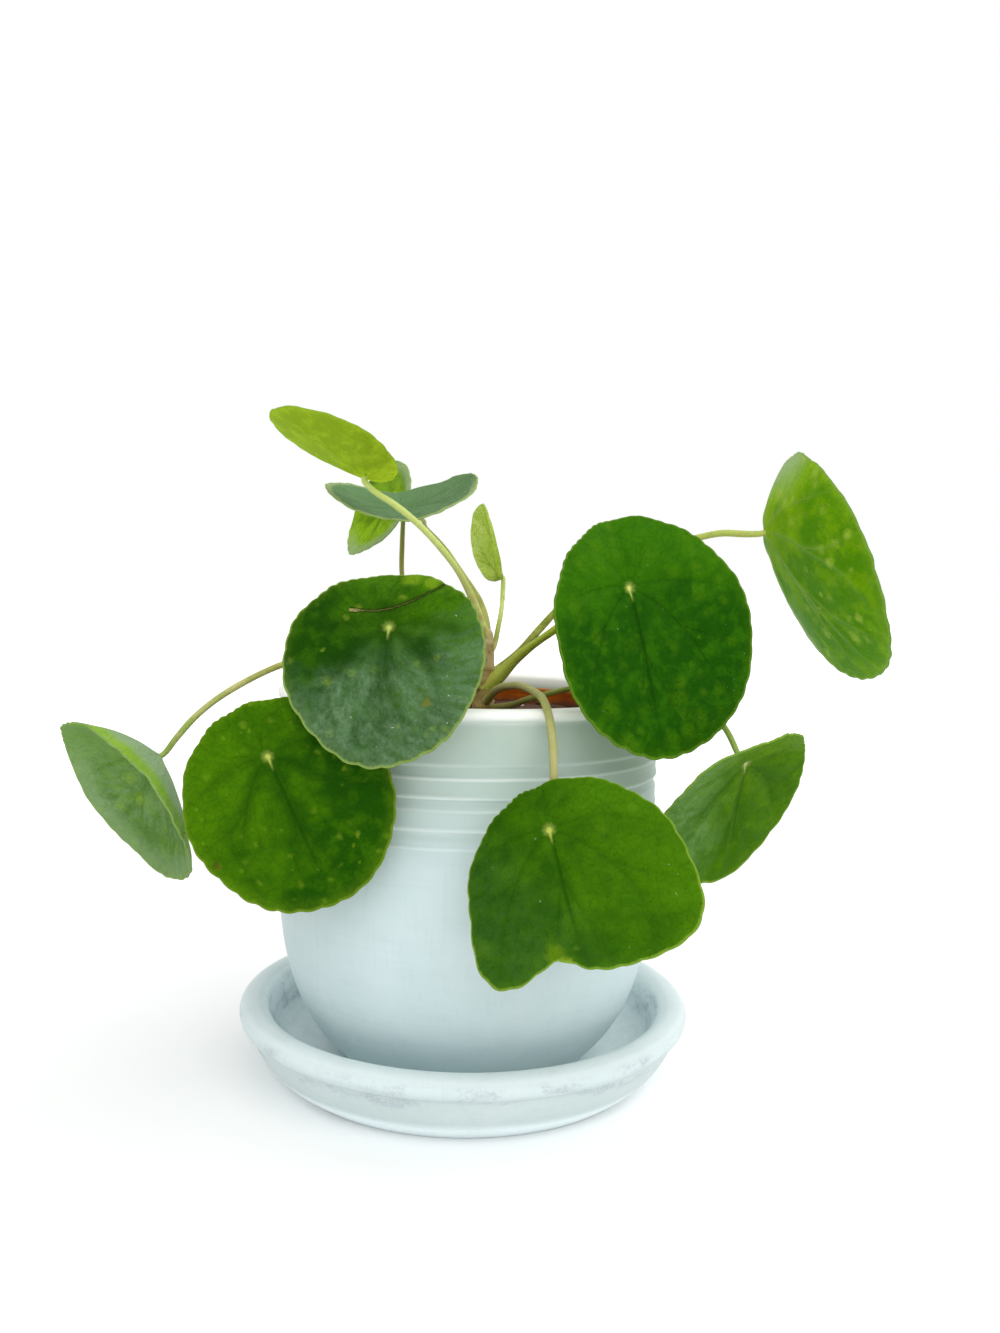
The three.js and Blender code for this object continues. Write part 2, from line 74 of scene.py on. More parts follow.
def srgb(red, green, blue):
    """A colour of levels 0 to 255, made linear, with its alpha."""
    levels = [level / 255 for level in (red, green, blue)]
    linear = [c / 12.92 if c <= 0.04045 else ((c + 0.055) / 1.055) ** 2.4 for c in levels]
    return (*linear, 1)


def new_material(name):
    """A material and its node tree, which is still empty."""
    material = bpy.data.materials.new(name)
    material.use_nodes = True
    material.node_tree.nodes.clear()
    return material, material.node_tree


def add_node(tree, kind, inputs, **settings):
    """A shader node with its settings, and each input set to a value or linked to a field."""
    node = tree.nodes.new("ShaderNode" + kind)
    for key, value in settings.items():
        setattr(node, key, value)
    for key, value in inputs.items():
        if isinstance(value, Field):
            tree.links.new(value.socket, node.inputs[key])
        else:
            node.inputs[key].default_value = value
    return node


class Field:
    """What a shader node gives out over a surface: a number, place, colour or shader. Sums and
    products of fields add the nodes that work them out."""

    def __init__(self, socket):
        self.socket = socket

    def feed(self, kind, output, inputs, **settings):
        """One output of a new node in this field's tree."""
        return Field(add_node(self.socket.id_data, kind, inputs, **settings).outputs[output])

    def reckon(self, operation, a, b=0.0):
        return self.feed("Math", "Value", {0: a, 1: b}, operation=operation)

    def __add__(self, other):
        return self.reckon("ADD", self, other)

    def __sub__(self, other):
        return self.reckon("SUBTRACT", self, other)

    def __rsub__(self, other):
        return self.reckon("SUBTRACT", other, self)

    def __mul__(self, other):
        return self.reckon("MULTIPLY", self, other)

    def __truediv__(self, other):
        return self.reckon("DIVIDE", self, other)

    def __abs__(self):
        return self.reckon("ABSOLUTE", self)

    def vector(self, operation, *others, output="Vector"):
        """A sum with places or directions, of which this one is the first."""
        inputs = dict(enumerate((self, *others)))
        return self.feed("VectorMath", output, inputs, operation=operation)

    def split(self):
        """A place's x, y and z."""
        node = add_node(self.socket.id_data, "SeparateXYZ", {"Vector": self})
        return [Field(socket) for socket in node.outputs]

    def spread(self, low, high, start=0.0, end=1.0):
        """From low to high, as this goes from start to end."""
        ends = {"From Min": start, "From Max": end, "To Min": low, "To Max": high}
        return self.feed("MapRange", "Result", {"Value": self, **ends})

    def between(self, start, end):
        """0 where this is at start and 1 where it is at end, with soft ends."""
        inputs = {"Value": self, "From Min": start, "From Max": end}
        return self.feed("MapRange", "Result", inputs, interpolation_type="SMOOTHSTEP")


def given(tree, kind, output, **settings):
    """What a node gives by itself, such as the place on the piece or an attribute of its mesh."""
    return Field(add_node(tree, kind, {}, **settings).outputs[output])


bpy.ops.object.select_all(action="DESELECT")
bpy.ops.mesh.primitive_circle_add(
    vertices=FLOOR_SIDES, radius=FLOOR_RADIUS, fill_type="NGON", location=FLOOR_PLACE
)
floor = bpy.context.object
floor.name = "floor"
bpy.ops.object.transform_apply(location=True)
floor_white, tree = new_material("floor_white")
place = given(tree, "TexCoord", "Object")
glow = place.vector("LENGTH", output="Value").spread(0, 1, GLOW_FROM, GLOW_FULL)
matt = glow.feed("BsdfPrincipled", "BSDF", {
    "Base Color": FLOOR_WHITE, "Roughness": 0.9, "Specular IOR Level": 0.1,
})
shine = glow.feed("Emission", "Emission", {"Color": (1, 1, 1, 1), "Strength": FLOOR_GLOW})
both = glow.feed("MixShader", "Shader", {0: glow, 1: matt, 2: shine})
add_node(tree, "OutputMaterial", {"Surface": both})
floor.data.materials.append(floor_white)

# Light: a white room, a big window above and behind the plant on its right, which shines
# through the leaves, and a soft panel high in front.
BACKDROP_WHITE = (1, 1, 1, 1)
ROOM_WHITE = (0.9, 0.9, 0.9, 1)
WINDOW_PLACE = (0.6, 0.2, 0.8)
WINDOW_SIZE = 1
WINDOW_WATTS = 3.2
PANEL_PLACE = (0.2, -0.8, 0.8)
PANEL_SIZE = 1
PANEL_WATTS = 5.5
LIGHT_AIM = Vector((0, 0, 0.1))

world = bpy.data.worlds.new("room")
bpy.context.scene.world = world
world.use_nodes = True
tree = world.node_tree
tree.nodes.clear()
seen = given(tree, "LightPath", "Is Camera Ray")
backdrop = seen.feed("Background", "Background", {"Color": BACKDROP_WHITE})
room = seen.feed("Background", "Background", {"Color": ROOM_WHITE})
both = seen.feed("MixShader", "Shader", {0: seen, 1: room, 2: backdrop})
add_node(tree, "OutputWorld", {"Surface": both})


def hang_light(name, location, size, watts):
    """A square lamp of soft light, turned towards the plant."""
    aim = (LIGHT_AIM - Vector(location)).to_track_quat("-Z", "Y").to_euler()
    bpy.ops.object.light_add(type="AREA", location=location, rotation=aim)
    lamp = bpy.context.object
    lamp.name = name
    lamp.data.size = size
    lamp.data.energy = watts


hang_light("window_light", WINDOW_PLACE, WINDOW_SIZE, WINDOW_WATTS)
hang_light("panel_light", PANEL_PLACE, PANEL_SIZE, PANEL_WATTS)

# Saucer: a round dish of fired clay, thrown on a wheel with a thick rolled rim, then
# brushed with white paint that is grey in patches below the rim. The pot stands in it. From here
# on, sizes are in millimetres and heights are from the ground.
MM = 0.001
TURNED_SIDES = 180
SAUCER_PROFILE = {
    "foot": (59.7, 0), "foot_edge": (60.6, 0.8), "side_pull": (69.5, 6.5),
    "bead_foot": (72.2, 16.6), "bead_out": [(76, 17.6), (76, 22.6)], "bead_top": (72.4, 23.6),
    "mouth_pull": (68.5, 24.8), "mouth": (66, 22), "inner_pull": (63.6, 18),
    "inner_side": (62.6, 14), "floor_pull": (60, 7), "floor_edge": (50, 5), "middle": (4, 5),
}
HAND_WOBBLE = 0.12
WOBBLE_SPAN = 30
WOBBLE_FLATTENED = 1.6
LINE_WAVE = 0.6
PATCH_GREY = srgb(158, 164, 176)


def bend(*knots, steps=8):
    """Points on the curve that the knots pull from the first to the last, without the first."""
    points = []
    for i in range(1, steps + 1):
        row = [Vector(knot) for knot in knots]
        while len(row) > 1:
            row = [a.lerp(b, i / steps) for a, b in zip(row, row[1:])]
        points.append(tuple(row[0]))
    return points


def turn_on_wheel(name, profile):
    """A turned piece: a ring is drawn out and resized from each point of the profile, in
    millimetres of radius and height, to the next, and its open ends are filled."""
    bpy.ops.object.select_all(action="DESELECT")
    radius, height = profile[0]
    bpy.ops.mesh.primitive_circle_add(
        vertices=TURNED_SIDES, radius=radius * MM, location=(0, 0, height * MM)
    )
    piece = bpy.context.object
    piece.name = name
    bpy.ops.object.transform_apply(location=True)
    bpy.ops.object.mode_set(mode="EDIT")
    bpy.ops.mesh.select_all(action="SELECT")
    for new_radius, new_height in profile[1:]:
        rise = (new_height - height) * MM
        bpy.ops.mesh.extrude_region_move(TRANSFORM_OT_translate={"value": (0, 0, rise)})
        scale = new_radius / radius
        bpy.ops.transform.resize(value=(scale, scale, 1), center_override=(0, 0, new_height * MM))
        radius, height = new_radius, new_height
    bpy.ops.mesh.select_all(action="SELECT")
    bpy.ops.mesh.remove_doubles(threshold=1e-6)
    bpy.ops.mesh.fill_holes(sides=0)
    bpy.ops.mesh.select_all(action="SELECT")
    bpy.ops.mesh.normals_make_consistent(inside=False)
    bpy.ops.object.mode_set(mode="OBJECT")
    return piece


def vertices_of(piece):
    """The piece's vertices as rows of x, y and z."""
    co = np.empty(len(piece.data.vertices) * 3)
    piece.data.vertices.foreach_get("co", co)
    return co.reshape(-1, 3)


def move_vertices(piece, co):
    piece.data.vertices.foreach_set("co", co.ravel())
    piece.data.update()


def wobble_by_hand(piece, size_mm):
    """Small unevenness of the clay, outwards and inwards from the axis."""
    co = vertices_of(piece)
    for i, (x, y, z) in enumerate(co):
        away = math.hypot(x, y)
        if away > 0.01:
            point = Vector((x, y, z * WOBBLE_FLATTENED)) / (WOBBLE_SPAN * MM)
            co[i, :2] *= 1 + noise.noise(point) * size_mm * MM / away
    move_vertices(piece, co)


def select_only(piece):
    bpy.ops.object.select_all(action="DESELECT")
    piece.select_set(True)
    bpy.context.view_layer.objects.active = piece


def smooth(piece, degrees=40):
    select_only(piece)
    bpy.ops.object.shade_smooth_by_angle(angle=math.radians(degrees))


def mix_colours(share, a, b):
    """The colour that lies a share of the way from a to b."""
    field = share if isinstance(share, Field) else a
    return field.feed("Mix", 2, {0: share, 6: a, 7: b}, data_type="RGBA")


def mottle(place, scale, detail=3, stretch=None):
    """Noise over a place, drawn out along the axes that stretch makes small."""
    if stretch:
        place = place.feed("Mapping", "Vector", {"Vector": place, "Scale": stretch})
    return place.feed("TexNoise", "Fac", {
        "Vector": place, "Scale": scale, "Detail": detail, "Roughness": 0.6,
    })


def shaded(tone, roughness, specular, relief, strength, depth):
    """A shader of one tone with fine relief, whose depth is in metres."""
    bump = relief.feed("Bump", "Normal", {
        "Height": relief, "Strength": strength, "Distance": depth,
    })
    return tone.feed("BsdfPrincipled", "BSDF", {
        "Base Color": tone,
        "Roughness": roughness,
        "Specular IOR Level": specular,
        "Normal": bump,
    })


def brushed_paint(
    name, low_tone, high_tone, turns_at, lines, grey_patch_heights, grey_patch_strength, inner=None,
):
    """White paint brushed by hand, from one tone below to another above: slightly cloudy,
    with faint marks of the brush, lines round the piece at heights where it is darker or
    paler, and grey patches between two heights. The lines are painted shade in the grooves and
    under a bead, and painted highlights on the edges and the lip that catch the light. Inside the
    radius that comes with it, the inner tone takes over. A line has a height, a reach to either
    side, a strength and a tone. Tones are levels from 0 to 255."""
    low_tone, high_tone = srgb(*low_tone), srgb(*high_tone)
    thick = (*(0.5 * c + 0.5 for c in low_tone[:3]), 1)
    thin = (*(0.8 * c for c in low_tone[:3]), 1)
    material, tree = new_material(name)
    place = given(tree, "TexCoord", "Object")
    height = place.split()[2]
    upright = mottle(place, 700, stretch=(1, 1, 0.06))
    rings = mottle(place, 700, stretch=(0.05, 0.05, 1))
    patches = mottle(place, 70, detail=5, stretch=(1, 1, 2.5))
    grain = mottle(place, 1500, detail=2)
    tone = mix_colours(
        height.between(turns_at[0] * MM, turns_at[1] * MM), low_tone, high_tone
    )
    # painted light: inside the radius the paint is made paler, where it lies in shade
    if inner:
        radius, inner_tone = inner
        from_axis = place.vector("MULTIPLY", (1, 1, 0)).vector("LENGTH", output="Value")
        within = from_axis.between((radius + 1.5) * MM, (radius - 1.5) * MM)
        tone = mix_colours(within, tone, srgb(*inner_tone))
    tone = mix_colours(mottle(place, 26).between(0.45, 0.75) * 0.22, tone, thick)
    for marks, strength in ((upright, 0.2), (rings, 0.16), (patches, 0.2)):
        tone = mix_colours(marks.between(0.48, 0.78) * strength, tone, thin)
    # each line is painted shade or a painted highlight: darker in a groove or under a bead, paler
    # on an edge that catches the light
    wavy = height + patches * (LINE_WAVE * MM)
    for line_height, reach, strength, line_tone in lines:
        off = abs(wavy - (line_height + LINE_WAVE / 2) * MM)
        tone = mix_colours(off.between(reach * MM, 0) * strength, tone, srgb(*line_tone))
    # grey in cloudy patches between two heights
    low, high = (h * MM for h in grey_patch_heights)
    band = height.between(low - MM, low + MM) * height.between(high + MM, high - MM)
    grey_patches = patches.between(0.5, 0.66) * band * grain.between(0.3, 0.6)
    tone = mix_colours(grey_patches * grey_patch_strength, tone, PATCH_GREY)
    relief = upright * 0.5 + rings + grain * 0.6
    shader = shaded(tone, grain.spread(0.46, 0.62), 0.3, relief, 0.3, 0.0001)
    add_node(tree, "OutputMaterial", {"Surface": shader})
    return material


p = SAUCER_PROFILE
saucer = turn_on_wheel("saucer_dish", [
    p["foot"], p["foot_edge"],
    *bend(p["foot_edge"], p["side_pull"], p["bead_foot"], steps=12),
    *bend(p["bead_foot"], *p["bead_out"], p["bead_top"], steps=12),
    *bend(p["bead_top"], p["mouth_pull"], p["mouth"]),
    *bend(p["mouth"], p["inner_pull"], p["inner_side"], steps=5),
    *bend(p["inner_side"], p["floor_pull"], p["floor_edge"]),
    p["middle"],
])
wobble_by_hand(saucer, HAND_WOBBLE)
smooth(saucer)
saucer.data.materials.append(brushed_paint(
    "saucer_paint", low_tone=(197, 211, 211), high_tone=(207, 220, 221), turns_at=(15, 21),
    # painted shade in the dark line under the bead, and a painted highlight in the pale line on its
    # top
    lines=[(16.6, 1.4, 0.2, (178, 190, 194)), (22.9, 1, 0.25, (224, 234, 234))],
    # the inner tone is painted light: the inside of the dish, which lies in the pot's shade, made
    # paler
    grey_patch_heights=(13, 21.5), grey_patch_strength=0.5, inner=(67, (238, 250, 252)),
))
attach(saucer, "root")
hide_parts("saucer")

# Cover pot: a cylinder of fired clay, thrown like the saucer, with three bands of grooves
# under the rim and a small rolled lip, brushed white. It stands on its foot ring.
POT_RADIUS = 62.2
POT_INNER = 58.4
POT_UNDERSIDE = 7.6
POT_FLOOR = 11.5
POT_DRAIN = 7
RING_INSIDE = (38, 5.6)
RING_OUTSIDE = (41.4, 5.6)
RING_LOWEST = 5
BELLY_FOOT = (43.4, 8.6)
BELLY_TOP = 56
RIM_TOP = 127.2
RIM_MIDDLE = 61.2
LIP_RADIUS = 63.4
LIP_FOOT = 124.4
GROOVES = [(86.5, 91.5, 0.35), (97.5, 101, 0.35), (107, 110.6, 0.12)]  # from, to, bead proud
GROOVE_DEPTH = 0.6
BEAD_TALL = 1.3
LINE_PROUD = 0.2
# painted highlight on the edges of the grooves, and painted shade inside them
GROOVE_EDGE_HIGHLIGHT = (232, 240, 240)
GROOVE_SHADE = (170, 186, 182)

pot_profile = [(POT_DRAIN, POT_UNDERSIDE), (20, POT_UNDERSIDE), (36.5, POT_UNDERSIDE)]
pot_profile += bend((36.5, POT_UNDERSIDE), (37.6, 7.2), RING_INSIDE, steps=3)
pot_profile += bend(RING_INSIDE, (39.7, RING_LOWEST), RING_OUTSIDE, steps=6)
pot_profile += bend(RING_OUTSIDE, (42.2, 7.6), BELLY_FOOT, steps=3)
pot_profile += bend(BELLY_FOOT, (52, 16), (60.5, 30), (POT_RADIUS, BELLY_TOP), steps=30)
pot_profile += [(POT_RADIUS, 66), (POT_RADIUS, 76)]
for low, high, proud in GROOVES:
    inside = POT_RADIUS - GROOVE_DEPTH
    bead = POT_RADIUS + proud
    pot_profile += [(POT_RADIUS, low - 1)]
    pot_profile += bend(
        (POT_RADIUS, low - 1), (POT_RADIUS + LINE_PROUD, low - 0.4),
        (POT_RADIUS + LINE_PROUD, low), (inside + 0.2, low + 0.6), steps=5,
    )
    pot_profile += bend(
        (inside + 0.2, low + 0.6), (inside, low + 1.2), (inside, high - 0.7), steps=4
    )
    pot_profile += bend(
        (inside, high - 0.7), (inside, high - 0.1), (bead, high - 0.2),
        (bead, high + BEAD_TALL / 2), steps=6,
    )
    pot_profile += bend(
        (bead, high + BEAD_TALL / 2), (bead, high + BEAD_TALL),
        (POT_RADIUS, high + BEAD_TALL + 0.4), steps=5,
    )
pot_profile += [(POT_RADIUS, 116), (POT_RADIUS, LIP_FOOT - 0.9)]
pot_profile += bend(
    (POT_RADIUS, LIP_FOOT - 0.9), (LIP_RADIUS, LIP_FOOT - 0.4), (LIP_RADIUS + 0.1, LIP_FOOT + 1),
    (LIP_RADIUS, RIM_TOP - 1.1), steps=7,
)
pot_profile += bend(
    (LIP_RADIUS, RIM_TOP - 1.1), (LIP_RADIUS - 0.2, RIM_TOP), (RIM_MIDDLE, RIM_TOP), steps=6
)
pot_profile += bend(
    (RIM_MIDDLE, RIM_TOP), (POT_INNER + 0.3, RIM_TOP), (POT_INNER, RIM_TOP - 1.7), steps=7
)
pot_profile += [(POT_INNER, height) for height in (120, 104, 88, 72, BELLY_TOP)]
pot_profile += bend((POT_INNER, BELLY_TOP), (57, 32), (50, 20), (42, POT_FLOOR + 1), steps=12)
pot_profile += [(39, POT_FLOOR), (22, POT_FLOOR), (POT_DRAIN, POT_FLOOR)]
pot_profile += [(POT_DRAIN, POT_UNDERSIDE)]

cover_pot = turn_on_wheel("cover_pot_wall", pot_profile)
wobble_by_hand(cover_pot, HAND_WOBBLE)
smooth(cover_pot)
cover_pot.data.materials.append(brushed_paint(
    # the upper tone is painted shade: greener and darker towards the rim, where the leaves hang
    # over the pot and light comes green through them
    "pot_paint", low_tone=(194, 211, 213), high_tone=(168, 186, 174), turns_at=(74, 122),
    # painted shade in the grooves and painted highlights on their edges
    lines=[
        (112, 1.2, 0.15, GROOVE_SHADE), (110.6, 0.9, 0.2, GROOVE_EDGE_HIGHLIGHT), (108.6, 1.4, 0.35, GROOVE_SHADE),
        (106.8, 0.8, 0.5, GROOVE_EDGE_HIGHLIGHT), (101.2, 0.8, 0.5, GROOVE_EDGE_HIGHLIGHT), (99.3, 1.4, 0.4, GROOVE_SHADE),
        (97.6, 0.7, 0.3, GROOVE_EDGE_HIGHLIGHT), (91.6, 1.1, 0.5, GROOVE_EDGE_HIGHLIGHT), (89.3, 1.8, 0.4, GROOVE_SHADE),
        # the last of these lines is a painted highlight along the top of the lip
        (86.4, 0.7, 0.3, GROOVE_EDGE_HIGHLIGHT), (126.2, 4.4, 1, (250, 251, 246)),
    ],
    grey_patch_heights=(7, 12), grey_patch_strength=0.3,
))
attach(cover_pot, "root")
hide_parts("cover_pot")

# Nursery pot: the thin terracotta-coloured plastic pot that the plant was bought in. It is
# moulded with a tapered wall, an upright band and a narrow lip, and drops into the cover pot.
NURSERY_FLOOR = 11.8
NURSERY_TOP = 122.4
NURSERY_WALL = 1.1
NURSERY_BASE_RADIUS = 38
NURSERY_NECK_RADIUS = 56.3
NURSERY_LIP_RADIUS = 58
NURSERY_LIP_HEIGHT = 6
NURSERY_DRAIN = 5
DARKER_BELOW = 119.5

band_foot = NURSERY_TOP - NURSERY_LIP_HEIGHT
inner_floor = NURSERY_FLOOR + NURSERY_WALL
lip = NURSERY_LIP_RADIUS
nursery_profile = [(NURSERY_DRAIN, NURSERY_FLOOR), (20, NURSERY_FLOOR)]
nursery_profile += bend(
    (36.6, NURSERY_FLOOR), (NURSERY_BASE_RADIUS - 0.1, NURSERY_FLOOR),
    (NURSERY_BASE_RADIUS + 0.2, NURSERY_FLOOR + 1.4), steps=4,
)
nursery_profile += [(44, 45.6), (50, 79.8), (NURSERY_NECK_RADIUS, band_foot)]
nursery_profile += bend(
    (NURSERY_NECK_RADIUS, band_foot), (lip - 0.5, band_foot), (lip - 0.5, band_foot + 1), steps=4
)
nursery_profile += bend(
    (lip - 0.5, NURSERY_TOP - 2), (lip, NURSERY_TOP - 1.8), (lip, NURSERY_TOP),
    (lip - 0.9, NURSERY_TOP), steps=7,
)
nursery_profile += bend(
    (lip - 0.9, NURSERY_TOP), (lip - 1.8, NURSERY_TOP), (lip - 1.8, NURSERY_TOP - 0.8), steps=5
)
nursery_profile += [(lip - 1.8, NURSERY_TOP - 2.6), (lip - 1.8, band_foot + 1.6)]
nursery_profile += [(NURSERY_NECK_RADIUS - NURSERY_WALL, band_foot), (49, 79.8), (43, 45.6)]
nursery_profile += [(NURSERY_BASE_RADIUS - NURSERY_WALL, inner_floor), (20, inner_floor)]
nursery_profile += [(NURSERY_DRAIN, inner_floor), (NURSERY_DRAIN, NURSERY_FLOOR)]
nursery_pot = turn_on_wheel("nursery_pot_shell", nursery_profile)
smooth(nursery_pot)

terracotta, tree = new_material("terracotta_plastic")
place = given(tree, "TexCoord", "Object")
height = place.split()[2]
cloud = mottle(place, 60, detail=4, stretch=(1, 1, 0.6))
grain = mottle(place, 2200, detail=2)
drawn = mottle(place, 900, stretch=(0.06, 0.06, 1))
tone = mix_colours(cloud.between(0.35, 0.7), srgb(160, 78, 4), srgb(122, 56, 2))
tone = mix_colours(drawn.between(0.5, 0.8), tone, srgb(172, 92, 16))
# painted highlight: the top of the lip is a paler orange, where it catches the light
lip_highlight = height.between((NURSERY_TOP - 1.2) * MM, NURSERY_TOP * MM)
tone = mix_colours(lip_highlight, tone, srgb(178, 104, 44))
# darker and browner below a given height, in cloudy patches
darker_low = height.between(DARKER_BELOW * MM, (DARKER_BELOW - 3) * MM) * cloud.between(0.3, 0.6)
tone = mix_colours(darker_low, tone, srgb(62, 38, 24))
shader = shaded(tone, grain.spread(0.38, 0.6), 0.1, grain + drawn, 0.25, 0.0001)
add_node(tree, "OutputMaterial", {"Surface": shader})
nursery_pot.data.materials.append(terracotta)
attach(nursery_pot, "root")
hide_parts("nursery_pot")

# Soil: peaty potting mix that fills the nursery pot, pressed in by hand and watered down to
# a lumpy surface, with loose crumbs and white grains of perlite on it.
SOIL_TOP = 117
SOIL_LUMP = 0.8
SOIL_FOOT = 13.2
SOIL_FOOT_RADIUS = 36.6
SOIL_EDGE = 54.1
CRUMB_DOUBLINGS = 8
CRUMB_SIZE = (0.5, 1.5)
CRUMB_SEED = 11
GRAIN_DOUBLINGS = 6
GRAIN_SIZE = (0.5, 1.1)
GRAIN_SEED = 5

soil_profile = [(3, SOIL_FOOT), (SOIL_FOOT_RADIUS, SOIL_FOOT), (SOIL_EDGE, SOIL_TOP - 3)]
soil_profile += [(SOIL_EDGE - 0.2, SOIL_TOP - 1.2), (SOIL_EDGE - 0.5, SOIL_TOP - 0.5)]
soil_profile += [(float(r), SOIL_TOP) for r in np.arange(SOIL_EDGE - 1.2, 0.8, -0.85)]
soil = turn_on_wheel("soil_surface", soil_profile)


def soil_height(x, y):
    """The lumpy surface, in millimetres: broad lumps, and crumbs on them."""
    lump = math.sin(x * 0.42 + 1) * math.cos(y * 0.36) + math.sin(x * 0.2 - y * 0.27)
    crumbly = noise.fractal(Vector((x, y, 3)) / 3.4, 0.8, 2.1, 4)
    return SOIL_TOP + SOIL_LUMP / 2 * lump + 0.7 * crumbly


co = vertices_of(soil)
for i in np.flatnonzero(co[:, 2] > (SOIL_TOP - 0.1) * MM):
    co[i, 2] = soil_height(co[i, 0] / MM, co[i, 1] / MM) * MM
move_vertices(soil, co)
smooth(soil, 60)


def crumbly_matter(name, dark, light, scale, roughness):
    """Rough broken matter in two colours, such as peat or perlite."""
    material, tree = new_material(name)
    place = given(tree, "TexCoord", "Object")
    bits = mottle(place, scale, detail=6)
    grit = mottle(place, scale * 4)
    tone = mix_colours(bits.between(0.35, 0.68), srgb(*dark), srgb(*light))
    tone = mix_colours(grit.between(0.62, 0.75), tone, srgb(150, 118, 84))
    shader = shaded(tone, grit.spread(roughness - 0.15, roughness), 0.25, bits, 0.8, 0.0005)
    add_node(tree, "OutputMaterial", {"Surface": shader})
    return material


def scatter(name, doublings, sizes, lift, seed):
    """Small broken lumps strewn over the soil, as one piece."""
    bpy.ops.object.select_all(action="DESELECT")
    bpy.ops.mesh.primitive_ico_sphere_add(subdivisions=2, radius=MM)
    lumps = bpy.context.object
    lumps.name = name
    ball = vertices_of(lumps) / MM
    bpy.ops.object.mode_set(mode="EDIT")
    for _ in range(doublings):
        bpy.ops.mesh.select_all(action="SELECT")
        bpy.ops.mesh.duplicate()
    bpy.ops.object.mode_set(mode="OBJECT")
    pick = np.random.default_rng(seed)
    rows = []
    for _ in range(2 ** doublings):
        away = math.sqrt(pick.uniform(0.006, 1)) * (SOIL_EDGE - 2)
        turn = pick.uniform(0, math.tau)
        x, y = away * math.cos(turn), away * math.sin(turn)
        size = pick.uniform(*sizes)
        chipped = ball * pick.uniform(0.72, 1.15, (len(ball), 1)) * pick.uniform(0.6, 1.2, 3)
        spun = chipped @ np.array(Matrix.Rotation(pick.uniform(0, 3), 3, pick.normal(size=3)))
        rows.append(spun * size + (x, y, soil_height(x, y) + size * lift))
    move_vertices(lumps, np.concatenate(rows) * MM)
    smooth(lumps, 35)
    return lumps


peat = crumbly_matter("peat", (52, 33, 21), (98, 64, 42), 700, 0.95)
perlite = crumbly_matter("perlite", (214, 200, 188), (238, 232, 224), 1400, 0.9)
soil.data.materials.append(peat)
crumbs = scatter("soil_crumbs", CRUMB_DOUBLINGS, CRUMB_SIZE, 0.25, CRUMB_SEED)
crumbs.data.materials.append(peat)
grains = scatter("perlite_grains", GRAIN_DOUBLINGS, GRAIN_SIZE, 0.35, GRAIN_SEED)
grains.data.materials.append(perlite)
for piece in (soil, crumbs, grains):
    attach(piece, "root")
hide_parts("soil")

# Trunk: a short woody stem, pinkish brown, that leans a little. Each fallen leaf has left a
# raised scar on it, in a spiral, and small papery scales stay beside the upper scars.
TRUNK_FOOT = 96
TRUNK_TOP = 147
TRUNK_X = 4.2
TRUNK_LEAN = 0.045
TRUNK_LEAN_FROM = 121
TRUNK_FOOT_RADIUS = 3.8
TRUNK_TIP_RADIUS = 1.5
SCAR_SPACING = 4.2
SCAR_LENGTH = 1.1
SCAR_RAISE = 0.3
SCAR_NOTCH = 0.12
FIRST_SCAR = 5
ROUNDED_TIP = 0.035
SPIRAL_TURN = math.radians(137.5)
TRUNK_RINGS = 150
SCALE_COUNT = 6
SCALE_LENGTH = 3.6
SCALE_WIDTH = 1.5
SCALE_FLATTENED = 0.3
SCALE_FROM_AXIS = 1.1875
CONE_WIDEST = 1.6


def trunk_axis(z):
    return np.array([TRUNK_X + max(z - TRUNK_LEAN_FROM, 0) * TRUNK_LEAN, 0, z])


def round_stem(name, path, radius_at, sides=20):
    """A round stem along points in millimetres. A ring is drawn out once for each point, the
    ends are filled, and each ring is then set square to the path. Every vertex knows how
    far along the stem it is."""
    bpy.ops.object.select_all(action="DESELECT")
    bpy.ops.mesh.primitive_circle_add(vertices=sides, radius=1)
    stem = bpy.context.object
    stem.name = name
    bpy.ops.object.mode_set(mode="EDIT")
    bpy.ops.mesh.select_all(action="SELECT")
    for _ in path[1:]:
        bpy.ops.mesh.extrude_region_move(TRANSFORM_OT_translate={"value": (0, 0, 1)})
    bpy.ops.mesh.select_all(action="SELECT")
    bpy.ops.mesh.fill_holes(sides=0)
    bpy.ops.mesh.normals_make_consistent(inside=False)
    bpy.ops.object.mode_set(mode="OBJECT")
    along = np.gradient(path, axis=0)
    along /= np.linalg.norm(along, axis=1)[:, None]
    across = np.empty_like(path)
    side = np.cross(along[0], (0.1, 1, 0.2))
    for i, direction in enumerate(along):
        side = side - direction * (side @ direction)
        side /= np.linalg.norm(side)
        across[i] = side
    third = np.cross(along, across)
    co = vertices_of(stem)
    ring = np.round(co[:, 2]).astype(int)
    turn = np.arctan2(co[:, 1], co[:, 0])
    share = ring / (len(path) - 1)
    radius = radius_at(share, turn)[:, None]
    offset = across[ring] * np.cos(turn)[:, None] + third[ring] * np.sin(turn)[:, None]
    move_vertices(stem, (path[ring] + offset * radius) * MM)
    mark = stem.data.attributes.new("along", "FLOAT", "POINT")
    mark.data.foreach_set("value", share)
    smooth(stem, 50)
    return stem


def trunk_radius(share, turn):
    radius = TRUNK_FOOT_RADIUS + (TRUNK_TIP_RADIUS - TRUNK_FOOT_RADIUS) * share ** 3
    length = TRUNK_TOP - TRUNK_FOOT
    for i in range(FIRST_SCAR, int((length - 3) / SCAR_SPACING) + 1):
        away = (share * length - i * SCAR_SPACING) / SCAR_LENGTH
        facing = 0.5 + 0.5 * np.cos(turn - i * SPIRAL_TURN)
        radius = radius + SCAR_RAISE * np.exp(-away * away) * facing
        lower_edge = (share * length - i * SCAR_SPACING + 0.8) / 0.3
        radius = radius - SCAR_NOTCH * np.exp(-lower_edge * lower_edge) * facing
    tip = np.clip((share - 1 + ROUNDED_TIP) / ROUNDED_TIP, 0, 1)
    return radius * np.sqrt(1 - 0.9 * tip ** 2)


